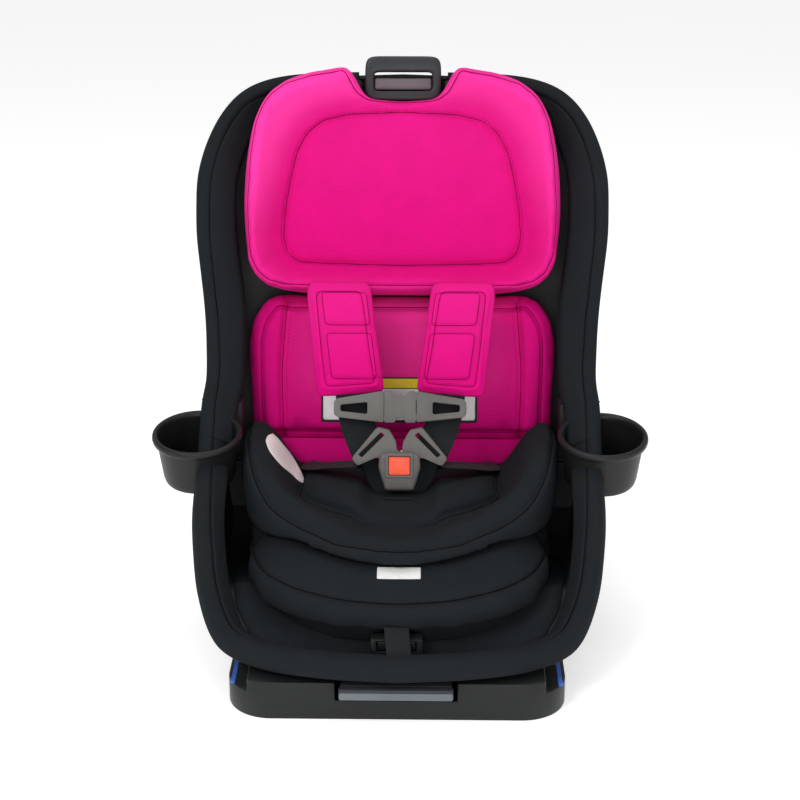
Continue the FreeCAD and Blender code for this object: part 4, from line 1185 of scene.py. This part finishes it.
@dataclass(frozen=True)
class BackPad:
    """The padded cover of the back, with a raised bolster down each side, and the blank label on it."""

    front: float = -0.001
    crown: float = 0.004
    seam_x: float = 0.132

    def outline(self, inset: float = 0.0) -> Array:
        """The pad seen from the front."""
        half = [(0.0, -0.022 + inset), (0.158, -0.022 + inset), (0.167 - inset, -0.014),
                (0.169 - inset, 0.040), (0.170 - inset, 0.090), (0.165 - inset, 0.114),
                (0.150 - inset, 0.134), (0.128, 0.141 - inset), (0.0, 0.142 - inset)]
        return run(whole(half), 360, 0.006, closed=True)

    def height(self, across: Array, _up: Array, deep: Array) -> Array:
        """The front's height: a low crown in the middle, a dip at each seam and a fuller side bolster."""
        side = step_up(np.abs(across), self.seam_x - 0.02, self.seam_x + 0.01)
        edge = step_up(deep, 0.0, 0.02)
        return self.front - 0.010 + (0.010 + self.crown * side) * edge

    def build(self) -> bpy.types.Object:
        """The pad, its piping and stitching, and the label."""
        pad = panel("back_pad_cover", BACK, self.outline(0.003), self.height, -0.028, 0.004, rows=36)
        stuffed(pad, 0.005, 0.005)
        for side in (-1, 1):
            line = run([(side * self.seam_x, -0.02), (side * (self.seam_x + 0.002), 0.06),
                        (side * (self.seam_x - 0.004), 0.14)], 60, 0.01)
            carve(pad, BACK, line, 0.0045, 0.0035)
        rim = self.outline(0.012)
        carve(pad, BACK, closed(rim), 0.0022, 0.0024)
        across, up, _ = BACK.seen(coordinates(pad))
        # painted light: the pad's upper middle, shaded by the headrest, is blended to a lighter pink
        set_painted_light(pad, 0.6 * (1 - step_up(np.abs(across), 0.06, 0.15)) * step_up(up, 0.0, 0.06))
        fit(pad, "shell", Finish.PINK, "pink_fabric", "back_pad", fill=0.6)
        lines = [run([(side * self.seam_x, -0.015), (side * (self.seam_x + 0.002), 0.06),
                      (side * (self.seam_x - 0.004), 0.135)], 60, 0.01) for side in (-1, 1)]
        cords = [seam_cord("cord", pad, BACK, line) for line in [closed(rim), *lines]]
        # the seam cords' darker finish is painted shade of the seam grooves
        fit(joined("back_pad_seams", cords), "shell", Finish.SEAM_SHADE_PINK, "pink_fabric")
        rows = []
        for side in (-1, 1):
            line = run([(side * (self.seam_x - 0.005), 0.0), (side * (self.seam_x - 0.003), 0.06),
                        (side * (self.seam_x - 0.009), 0.13)], 60, 0.01)
            rows.append(stitches("row", pad, BACK, line))
        fit(joined("back_pad_stitching", rows), "shell", Finish.THREAD_PINK, "pink_fabric")
        self.label(pad)
        tail_outline = rectangle(-0.158, -0.047, 0.158, -0.018, 0.006)
        tail = slab("back_pad_tail", BACK, tail_outline, -0.0130, -0.0060, 0.003)
        fit(tail, "shell", Finish.PINK, "pink_fabric", fill=0.3)
        return pad

    def label(self, pad: bpy.types.Object) -> None:
        """The blank label: a black backing, a white field and a yellow band, each laid on the pad."""
        low, high = 0.0015, 0.0525
        edge = (-0.090, low, 0.085, high)
        field = (-0.0875, low + 0.0025, 0.0825, high - 0.0135)
        band = (-0.0875, high - 0.0125, 0.0825, high - 0.0020)
        for name, box, lift, finish in (("blank_label_edge", edge, 0.0006, Finish.LABEL_BLACK),
                                        ("blank_label_field", field, 0.0011, Finish.LABEL_WHITE),
                                        ("blank_label_band", band, 0.0011, Finish.LABEL_YELLOW)):
            piece = draped(name, pad, BACK, rectangle(*box, 0.003), lift)
            nodes = ("blank_label",) if name == "blank_label_edge" else ()
            fit(piece, "shell", finish, "label", *nodes)


def rectangle(left: float, low: float, right: float, high: float, corner: float) -> Array:
    """A rounded rectangle's outline."""
    return run([(left, low), (right, low), (right, high), (left, high)], 160, corner * 0.5, closed=True)


def draped(name: str, under: bpy.types.Object, plane: Plane, outline: Array, lift: float,
           thick: float = 0.0006) -> bpy.types.Object:
    """A thin patch laid on a piece: rings of the outline, landed on it and lifted off it.

    Args:
        name: the patch's name.
        under: the piece that it lies on.
        plane: the plane that the outline is drawn on.
        outline: the closed outline.
        lift: how far its top is off the piece.
        thick: its thickness.

    Returns:
        The patch, a closed mesh.
    """
    middle = outline.mean(axis=0)
    shares = np.linspace(0.03, 1, 14)
    flat = np.concatenate([middle + (outline - middle) * share for share in shares])
    places, normals, good = landed(under, plane, flat)
    if not good.all():
        LOG.warning("%s: %d of its points missed %s", name, int((~good).sum()), under.name)
        spots = plane.at(flat[:, 0], flat[:, 1], 0.0)
        nearest = np.array([np.argmin(np.linalg.norm(places - spot, axis=1)) for spot in spots])
        places, normals = places[nearest], normals[nearest]
    top = (places + normals * lift).reshape(len(shares), -1, 3)
    below = (places + normals * (lift - thick)).reshape(len(shares), -1, 3)
    return loft(name, np.concatenate([top, below[::-1]]))


# ---------------------------------------------------------------- seat cushion and insert

def slope_under(y: Array, rise: float = 0.0) -> Array:
    """The height of the cushion's sloping top at a depth."""
    return 0.150 - 0.0783 * (0.066 - y) + rise


@dataclass(frozen=True)
class SeatCushion:
    """The seat's cushion: a deep block with a rounded nose, a seam round its front and a hem below it."""

    nose: float = 0.030
    reach: float = 0.046

    def outline(self, inset: float = 0.0) -> Array:
        """The cushion from above."""
        half = [(0.0, -0.198), (0.063, -0.191), (0.110, -0.168), (0.142, -0.135), (0.158, -0.092),
                (0.161, -0.030), (0.161, 0.060), (0.0, 0.062)]
        line = run(whole(half), 400, 0.008, closed=True)
        return line - inset * outward(line)

    def top(self, across: Array, up: Array, _deep: Array) -> Array:
        """The top: the seat's slope, falling over a rounded nose towards the edge."""
        spots = np.stack([across, up], axis=1)
        away = distance_to(spots, closed(self.outline()))
        fall = (1 - np.clip(away / self.reach, 0, 1)) ** 2
        front = 1 - step_up(up, -0.06, 0.02)
        return slope_under(up) - self.nose * fall * (0.3 + 0.7 * front)

    def hem(self) -> bpy.types.Object:
        """The hem below the cushion: a thin curtain along the front, two lobes and an arch between them."""
        line = self.outline(0.007)
        front = line[(line[:, 1] < -0.10) & (np.abs(line[:, 0]) < 0.150)]
        front = front[np.argsort(front[:, 0])]
        path = run(front, 150)
        across = np.abs(path[:, 0])
        low = 0.0615 + 0.019 * (1 - step_up(across, 0.004, 0.030)) + 0.026 * step_up(across, 0.085, 0.150)
        rings = []
        for share in np.linspace(0, 1, 9):
            height = 0.100 + (low - 0.100) * share
            rings.append(np.stack([path[:, 0], path[:, 1] + 0.010 * share ** 2, height], axis=1))
        out = np.stack(rings)
        inner = out + np.array([0.0, 0.005, 0.002])
        shape = np.concatenate([out, inner[::-1]]).swapaxes(0, 1)
        return loft("seat_cushion_hem", shape)

    def build(self) -> bpy.types.Object:
        """The cushion and its hem."""
        cushion = panel("seat_cushion_cover", SEAT, self.outline(0.004), self.top, 0.080, 0.005, rows=36)
        points = coordinates(cushion)
        edge = distance_to(points[:, :2], closed(self.outline()))
        floor = 0.096 + 0.079 * (points[:, 1] + 0.190) - 0.016 * (1 - step_up(edge, 0.0, 0.016))
        points[:, 2] = np.maximum(points[:, 2], floor)
        set_coordinates(cushion, points)
        stuffed(cushion, 0.005, 0.006)
        carve(cushion, QUARTER, self.front_seam(), 0.0030, 0.0022)
        fit(cushion, "seat_pan", Finish.BLACK, "black_fabric", "seat_cushion", fill=0.75)
        seam = seam_cord("seat_cushion_seam", cushion, QUARTER, self.front_seam())
        # the seam cord's darker finish is painted shade of the seam groove
        fit(seam, "seat_pan", Finish.SEAM_SHADE_BLACK, "black_fabric")
        fit(subdivided(self.hem()), "seat_pan", Finish.BLACK, "black_fabric")
        tag_outline = rectangle(-0.0203, 0.0626, 0.0236, 0.0731, 0.001)
        tag = draped("cushion_plain_tag", cushion, QUARTER, tag_outline, 0.0006)
        fit(tag, "seat_pan", Finish.LABEL_WHITE, "label")
        return cushion

    def front_seam(self) -> Array:
        """The seam round the front, as seen from a quarter above."""
        half = [(0.0, 0.0385), (0.054, 0.0414), (0.106, 0.0512), (0.143, 0.0650), (0.157, 0.0800),
                (0.161, 0.0950)]
        left = [(-x, up) for x, up in reversed(half[1:])]
        return run(left + half, 120, 0.012)


@dataclass(frozen=True)
class SeatInsert:
    """The U-shaped insert: a puffed pad inside a roll that climbs into a bolster at each side."""

    edge: tuple[tuple[float, float], ...] = ((0.0, -0.163), (0.051, -0.1505), (0.103, -0.118),
                                             (0.138, -0.090), (0.1545, -0.062), (0.1615, -0.040),
                                             (0.1670, -0.004))

    def outline(self, inset: float = 0.0) -> Array:
        """The insert from above."""
        half = [*self.edge, (0.168, 0.054), (0.0, 0.057)]
        line = run(whole(half), 400, 0.007, closed=True)
        return line - inset * outward(line)

    def spine(self) -> Array:
        """The outline's front and sides, without the rear edge."""
        half = [*self.edge, (0.168, 0.110)]
        left = [(-x, y) for x, y in reversed(half[1:])]
        return run(left + half, 200, 0.008)

    def roll(self, up: Array) -> Array:
        """How wide the roll is at a depth: a little wider at the sides."""
        return 0.054 + 0.008 * step_up(up, -0.060, 0.000)

    def top(self, across: Array, up: Array, _deep: Array) -> Array:
        """The top: the roll falls inwards with an S to a seam, inside which the pad puffs up again.

        A hollow along the middle leaves room for the crotch strap.
        """
        away = distance_to(np.stack([across, up], axis=1), self.spine())
        width = self.roll(up)
        tall = 0.007 + 0.050 * step_up(up, -0.140, 0.000)
        side = tall * (1 - step_up(away, 0.014, width))
        puff = 0.014 * step_up(away, width - 0.002, width + 0.018) * (1 - step_up(up, -0.050, 0.045))
        hollow = 0.013 * (1 - step_up(np.abs(across), 0.026, 0.046)) * step_up(up, -0.108, -0.085)
        edge = 0.006 * (1 - step_up(away, 0.0, 0.010))
        rise = 0.014 - 0.006 * step_up(up, -0.050, 0.050)
        return slope_under(up, rise) + side + puff - hollow - edge

    def inner_seam(self) -> Array:
        """The seam between the roll and the pad."""
        line = self.spine()
        side = np.gradient(line, axis=0)
        normal = np.stack([-side[:, 1], side[:, 0]], axis=1)
        normal /= np.linalg.norm(normal, axis=1, keepdims=True)
        seam = line + normal * self.roll(line[:, 1])[:, None]
        return seam[(seam[:, 1] < 0.05)]

    def build(self) -> bpy.types.Object:
        """The insert with its seams, and the pale mesh patch on its left bolster."""
        insert = panel("seat_insert_cover", SEAT, self.outline(0.005), self.top, 0.118, 0.007, rows=44)
        points = coordinates(insert)
        lift = 0.010 * (1 - step_up(points[:, 1], -0.120, -0.050))
        points[:, 2] = np.maximum(points[:, 2], slope_under(points[:, 1], lift - 0.006))
        set_coordinates(insert, points)
        stuffed(insert, 0.0048, 0.005)
        carve(insert, SEAT, self.inner_seam(), 0.0045, 0.0032)
        outer = self.spine()
        carve(insert, SEAT, outer[outer[:, 1] < 0.06] * [0.985, 1.0] + [0, 0.0035], 0.0024, 0.0020)
        fit(insert, "seat_pan", Finish.BLACK, "black_fabric", "seat_insert", fill=0.75)
        self.patch(insert)
        edge = outer[outer[:, 1] < 0.045] * [0.985, 1.0] + [0, 0.0035]
        cords = [seam_cord("cord", insert, SEAT, line) for line in (self.inner_seam(), edge)]
        # the seam cords' darker finish is painted shade of the seam grooves
        fit(joined("seat_insert_seams", cords), "seat_pan", Finish.SEAM_SHADE_BLACK, "black_fabric")
        return insert

    def patch(self, insert: bpy.types.Object) -> None:
        """The pale mesh teardrop on the left bolster and the orange thread along its upper edge."""
        outline = [(-0.1455, 0.2020), (-0.1405, 0.2050), (-0.1345, 0.1990), (-0.1210, 0.1810),
                   (-0.1090, 0.1620), (-0.1045, 0.1520), (-0.1060, 0.1500), (-0.1120, 0.1560),
                   (-0.1260, 0.1700), (-0.1400, 0.1870), (-0.1455, 0.1970)]
        line = run(outline, 200, 0.0022, closed=True)[::-1]
        patch = draped("insert_mesh_patch", insert, QUARTER, line, 0.0008)
        fit(patch, "seat_pan", Finish.MESH, "black_fabric")
        edge = run([(-0.1400, 0.2045), (-0.1345, 0.1988), (-0.1210, 0.1808), (-0.1095, 0.1625)], 60, 0.002)
        thread = stitches("insert_patch_thread", insert, QUARTER, edge, 0.0026, 0.0024, 0.0012)
        fit(thread, "seat_pan", Finish.THREAD_ORANGE, "black_fabric")


class SeatSoftGoods:
    """The seat's cushion, insert, crotch pad and tags."""

    def build(self) -> None:
        """All of the seat's soft pieces and its pan."""
        SeatCushion().build()
        SeatInsert().build()
        fold_outline = rectangle(-0.025, -0.068, 0.025, -0.046, 0.010)
        fold = slab("fold", SEAT, fold_outline, 0.1500, 0.1585, 0.0040, 0.001)
        corners = [(-0.025, -0.012), (0.025, -0.012), (0.030, 0.006), (0.041, 0.026), (0.042, 0.040),
                   (-0.042, 0.040), (-0.041, 0.026), (-0.030, 0.006)]
        upright_outline = run(corners, 200, 0.004, closed=True)
        upright = slab("upright", BUCKLE, upright_outline, -0.0240, -0.0150, 0.0040, 0.001)
        pad = subdivided(joined("crotch_pad_cover", [fold, upright]))
        fit(pad, "seat_pan", Finish.BLACK, "black_fabric", "crotch_pad", fill=0.6)
        fit(refined("seat_pan", 0.0012), "seat_pan", Finish.SHELL, "black_plastic", "seat_pan")


# ---------------------------------------------------------------- harness

@dataclass(frozen=True)
class ShoulderPad:
    """One padded sleeve on a shoulder strap: a front layer with two raised panels over a back layer."""

    side: int
    thick: float = 0.0060

    def outline(self, inset: float = 0.0) -> Array:
        """The sleeve from the front: wide, slanting inwards on its way down."""
        corners = [(0.0200 + inset, 0.018 + inset), (0.088 - inset, 0.014 + inset), (0.093 - inset, 0.060),
                   (0.099 - inset, 0.120), (0.098 - inset, 0.1320 - inset), (0.036 + inset, 0.1320 - inset),
                   (0.033 + inset, 0.110), (0.026 + inset, 0.060)]
        line = run(corners, 260, 0.0035, closed=True)
        return line if self.side > 0 else (line * [-1, 1])[::-1]

    def lean(self, up: Array) -> Array:
        """How far the raised panels are moved outwards at a height."""
        return 0.13 * (up - 0.08)

    def emboss(self, low: float, high: float) -> Array:
        """The outline of one raised panel between two heights."""
        lower, upper = self.lean(low), self.lean(high)
        corners = [(0.032 + lower, low), (0.080 + lower, low), (0.080 + upper, high), (0.032 + upper, high)]
        line = run(corners, 120, 0.0030, closed=True)
        return line if self.side > 0 else (line * [-1, 1])[::-1]

    def front(self, across: Array, up: Array, deep: Array) -> Array:
        """The front: two raised panels, open towards the middle, inside a flat border."""
        across = across * self.side
        tilt = self.lean(up)
        panel_side = step_up(across - tilt, 0.020, 0.023) * (1 - step_up(across - tilt, 0.078, 0.083))
        lower = step_up(up, 0.030, 0.034) * (1 - step_up(up, 0.077, 0.081))
        upper = step_up(up, 0.087, 0.091) * (1 - step_up(up, 0.121, 0.125))
        edge = step_up(deep, 0, 0.006)
        return self.thick * (0.35 + 0.65 * edge) + 0.0036 * panel_side * (lower + upper)

    def build(self, label: str) -> None:
        """The sleeve."""
        name = "shoulder_pad_cover." + label
        pad = panel(name, HARNESS, self.outline(0.001), self.front, -0.0070, 0.0035, rows=44)
        stuffed(pad, 0.0019, 0.0016, pressure=2.0, smooth=1)
        rim = self.outline(0.0075)
        carve(pad, HARNESS, closed(rim), 0.0018, 0.0018)
        up = HARNESS.seen(coordinates(pad))[1]
        # painted light: the sleeve's colour is blended lighter towards its top
        set_painted_light(pad, 0.15 * step_up(up, 0.02, 0.12))
        fit(pad, "headrest", Finish.PINK, "pink_fabric", "shoulder_pad_" + label, fill=0.5)
        cords = [seam_cord("cord", pad, HARNESS, closed(rim), 0.0005)]
        cords += [seam_cord("cord", pad, HARNESS, closed(self.emboss(low, high)), 0.0005)
                  for low, high in ((0.030, 0.079), (0.088, 0.123))]
        # the seam cords' darker finish is painted shade of the seam grooves
        fit(joined("shoulder_pad_seams." + label, cords), "headrest", Finish.SEAM_SHADE_PINK, "pink_fabric")


@dataclass(frozen=True)
class Strap:
    """A run of webbing between points, laid flat to a hint direction."""

    name: str
    points: tuple[tuple[float, float, float], ...]
    width: float = 0.037
    thick: float = 0.0016
    hint: tuple[float, float, float] = (1.0, 0.0, 0.0)
    blur: float = 0.008

    def build(self) -> bpy.types.Object:
        """The webbing."""
        line = run(self.points, 90, self.blur)
        return sweep(self.name, line, flat_section(self.width, self.thick), np.array(self.hint))


class Harness:
    """The straps, sleeves, chest clip, tongues, buckle and adjuster."""

    def straps(self, side: int, label: str) -> None:
        """One side's shoulder and lap straps."""
        top = [HARNESS.at(side * x, up, out) for x, up, out in
               ((0.064, 0.128, 0.0), (0.060, 0.10, 0.0), (0.053, 0.03, 0.0), (0.050, 0.0, 0.0),
                (0.046, -0.020, 0.002), (0.040, -0.034, 0.008), (0.032, -0.052, 0.012))]
        strap = Strap("shoulder_strap_web." + label, tuple(map(tuple, top)), blur=0.006).build()
        WARDROBE.dress(strap, Finish.WEBBING)
        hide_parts("shoulder_strap_" + label)
        start, end = HARNESS.at(0.0, 0.01, 0.0), HARNESS.at(0.0, -0.035, 0.008)
        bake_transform(strap)
        lap = ((side * 0.040, -0.028, 0.196), (side * 0.054, -0.016, 0.190), (side * 0.070, 0.000, 0.183),
               (side * 0.092, 0.022, 0.172), (side * 0.108, 0.050, 0.163))
        hint = (-side * 0.25, 1.0, -0.10)
        piece = Strap("lap_strap_web." + label, lap, width=0.024, hint=hint, blur=0.006).build()
        fit(piece, "shell", Finish.WEBBING, "webbing", "lap_strap_" + label)

    def buckle(self) -> None:
        """The buckle's rounded housing, with a raised collar round its square red button."""
        right = [(0.0150, 0.0090), (0.0185, 0.0200), (0.0225, 0.0330), (0.0215, 0.0465), (0.0150, 0.0500)]
        left = [(-x, up) for x, up in reversed(right)]
        housing = run([left[-1], *right, *left[:-1]], 200, 0.0018, closed=True)
        body = slab("body", BUCKLE, housing, -0.0100, 0.0105, 0.0050, 0.0020)
        collar = ring_plate("collar", BUCKLE, rectangle(-0.0145, 0.0235, 0.0145, 0.0490, 0.003),
                            rectangle(-0.0118, 0.0258, 0.0118, 0.0462, 0.002), 0.0100, 0.0135)
        fit(joined("buckle_body", [body, collar]), "seat_pan", Finish.GREY, "grey_plastic", "buckle_housing")
        square = rectangle(-0.0112, 0.0262, 0.0112, 0.0456, 0.002)
        button = slab("buckle_red_button", BUCKLE, square, 0.0080, 0.0135, 0.0014, 0.0006)
        fit(button, "buckle_button", Finish.RED, "red_plastic", "buckle_button")

    def build(self) -> None:
        """All of the harness."""
        for side, label in ((1, "right"), (-1, "left")):
            ShoulderPad(side).build(label)
            self.straps(side, label)
            fit(refined("tongue_plate_" + label, 0.0006), "tongue_" + label, Finish.STEEL, "steel",
                "tongue_plate_" + label)
            fit(refined("tongue_cover_" + label, 0.0016), "tongue_" + label, Finish.GREY, "grey_plastic",
                "tongue_cover_" + label)
        for node, body in (("chest_clip_left", "chest_clip"), ("chest_clip_right", "chest_clip_tongue")):
            fit(refined(node, 0.0012), body, Finish.GREY, "grey_plastic", node)
        self.buckle()
        route = ((0, -0.052, 0.166), (0, -0.046, 0.154), (0, -0.040, 0.140), (0, -0.037, 0.110))
        crotch = Strap("crotch_strap_web", route, width=0.030, blur=0.004).build()
        fit(crotch, "seat_pan", Finish.WEBBING, "webbing", "crotch_strap")
        route = ((0, -0.201, 0.090), (0.001, -0.212, 0.083), (0.003, -0.2225, 0.070), (0.004, -0.2275, 0.058))
        adjust = Strap("adjuster_strap_web", route, width=0.025, hint=(1.0, 0.25, 0.0)).build()
        fit(adjust, "shell", Finish.WEBBING, "webbing", "adjuster_strap")
        fit(refined("harness_release_button", 0.001), "harness_button", Finish.BASE, "grey_plastic",
            "harness_release_button")


# ---------------------------------------------------------------- cups, base and handle

@dataclass(frozen=True)
class Cup:
    """A round cup with a rolled rim and thin walls."""

    side: int
    radius: float = 0.0435
    foot: float = 0.038
    depth: float = 0.058
    wall: float = 0.0026
    rim: float = 0.0047

    def profile(self) -> Array:
        """The wall's section: radius and height, from the foot's middle up, over the rim and back down."""
        outer = [(0.0006, -self.depth), (self.foot - 0.006, -self.depth),
                 (self.foot - 0.001, -self.depth + 0.003), (self.foot + 0.0006, -self.depth + 0.009),
                 (self.radius - 0.0004, -0.009)]
        roll = [(self.radius + self.rim * 0.5 + self.rim * 0.5 * math.sin(t),
                 -0.004 - 0.0042 * math.cos(t)) for t in np.linspace(-0.6, math.pi, 9)]
        inner = [(self.radius - self.wall * 0.4, -0.0004), (self.radius - self.wall, -0.004),
                 (self.foot - self.wall, -self.depth + self.wall + 0.006),
                 (self.foot - self.wall - 0.005, -self.depth + self.wall),
                 (0.0006, -self.depth + self.wall)]
        return run(outer + roll + inner, 110, 0.0006, closed=True)

    def build(self, label: str) -> None:
        """The cup on its lean."""
        origin = np.array([self.side * 0.216, -0.020, 0.228])
        piece = turned("cup_holder_bowl." + label, self.profile(), origin, math.radians(9))
        fit(piece, "cup_" + label, Finish.CUP, "cup_plastic", "cup_holder_" + label)


class Base:
    """The base with its rails, feet and labels, and the recline handle."""

    def build(self) -> None:
        """All of the base's pieces."""
        shell = fit(refined("base_shell", 0.0022), "base", Finish.BASE, "black_plastic", "base_shell")
        for side, label in ((1, "right"), (-1, "left")):
            middle = side * 0.1650
            tag = draped("base_plain_tag." + label, shell, QUARTER,
                         rectangle(middle - 0.0022, -0.0440, middle + 0.0022, -0.0180, 0.001), 0.0005)
            fit(tag, "base", Finish.LABEL_BLUE, "label")
        for node in ("base_floor_panel", "base_rail_left", "base_rail_right", "lever_brackets"):
            fit(refined(node, 0.0008), "base", Finish.BASE, "black_plastic", node)
        fit(refined("base_foot_pads", 0.001), "base", Finish.RUBBER, "rubber", "base_foot_pads")
        fit(refined("lever_pivot_pin", 0.0004), "base", Finish.STEEL, "steel", "lever_pivot_pin")
        for node in ("recline_handle", "recline_handle_grip"):
            fit(refined(node, 0.0022), "recline_lever", Finish.HANDLE, "black_plastic", node)
        front = Plane(-0.2365, 0.0, 0.0)
        trim_outline = rectangle(-0.0565, 0.0285, 0.0565, 0.0365, 0.003)
        trim = slab("recline_handle_trim", front, trim_outline, -0.0020, 0.0022, 0.0012)
        fit(trim, "recline_lever", Finish.LIGHT_GREY, "light_grey_plastic")
        node = "recline_latch_tooth"
        fit(refined(node, 0.0006), "recline_lever", Finish.STEEL, "steel", node)


# ---------------------------------------------------------------- studio

@dataclass(frozen=True)
class Lamp:
    """A soft area light that faces a point."""

    name: str
    place: tuple[float, float, float]
    size: float
    power: float
    target: tuple[float, float, float] = (0.0, 0.0, 0.3)

    def build(self) -> None:
        """The light."""
        data = bpy.data.lights.new(self.name, "AREA")
        data.shape = "SQUARE"
        data.size = self.size
        data.energy = self.power
        lamp = bpy.data.objects.new(self.name, data)
        lamp.location = self.place
        heading = Vector(self.target) - Vector(self.place)
        lamp.rotation_euler = heading.to_track_quat("-Z", "Y").to_euler()
        bpy.context.scene.collection.objects.link(lamp)


class Studio:
    """A pale floor, a white surround, soft lamps and the camera."""

    glow = 0.42

    lamps = (Lamp("key", (-1.2, -1.6, 2.2), 1.0, 25.0), Lamp("fill", (1.6, -1.5, 1.4), 1.4, 9.0),
             Lamp("top", (0.0, 0.3, 2.5), 1.4, 14.0), Lamp("front", (0.0, -2.1, 0.75), 0.8, 9.0))

    def floor(self) -> None:
        """A wide plain floor."""
        size = 30.0
        piece = mesh_piece("studio_floor", np.array([(-size, -size, 0), (size, -size, 0), (size, size, 0),
                                                     (-size, size, 0)]), [(0, 1, 2, 3)])
        shader = Shader("floor_paint")
        place = shader.add("TexCoord")
        noise = shader.add("TexNoise", Scale=3.0)
        shader.link(place, "Object", noise, "Vector")
        shader.tones(noise, "Fac", [(0.3, (0.94, 0.94, 0.94)), (0.7, (0.95, 0.95, 0.95))])
        shader.set(Roughness=0.9, Emission_Color=(1.0, 1.0, 1.0, 1.0), Emission_Strength=self.glow)
        piece.data.materials.append(shader.material)

    def camera(self) -> None:
        """The camera: a long lens a little above the seat, looking down at it by twenty degrees."""
        elevation, azimuth, distance = math.radians(20), math.radians(1), 1.9
        target = Vector((0.0, 0.0, 0.258))
        heading = Vector((math.sin(azimuth) * math.cos(elevation), -math.cos(azimuth) * math.cos(elevation),
                          math.sin(elevation)))
        data = bpy.data.cameras.new("camera")
        data.lens, data.sensor_width = 80.0, 36.0
        camera = bpy.data.objects.new("camera", data)
        camera.location = target + heading * distance
        camera.rotation_euler = (-heading).to_track_quat("-Z", "Y").to_euler()
        bpy.context.scene.collection.objects.link(camera)
        bpy.context.scene.camera = camera

    def build(self) -> None:
        """The whole studio."""
        world = bpy.data.worlds.new("surround")
        world.use_nodes = True
        world.node_tree.nodes["Background"].inputs["Color"].default_value = (1.0, 1.0, 1.0, 1.0)
        world.node_tree.nodes["Background"].inputs["Strength"].default_value = 0.5
        bpy.context.scene.world = world
        bpy.context.scene.view_settings.view_transform = "Standard"
        self.floor()
        for lamp in self.lamps:
            lamp.build()
        self.camera()


def main() -> None:
    """Build the seat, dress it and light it."""
    logging.basicConfig(level=logging.INFO, format="%(message)s")
    surface = ShellSurface()
    ShellBody().build()
    EdgeCovers().build(surface)
    Headrest().build()
    BackPad().build()
    SeatSoftGoods().build()
    Harness().build()
    for side, label in ((1, "right"), (-1, "left")):
        Cup(side).build(label)
    Base().build()
    Studio().build()
    bpy.context.view_layer.update()


if __name__ == "__main__":
    main()
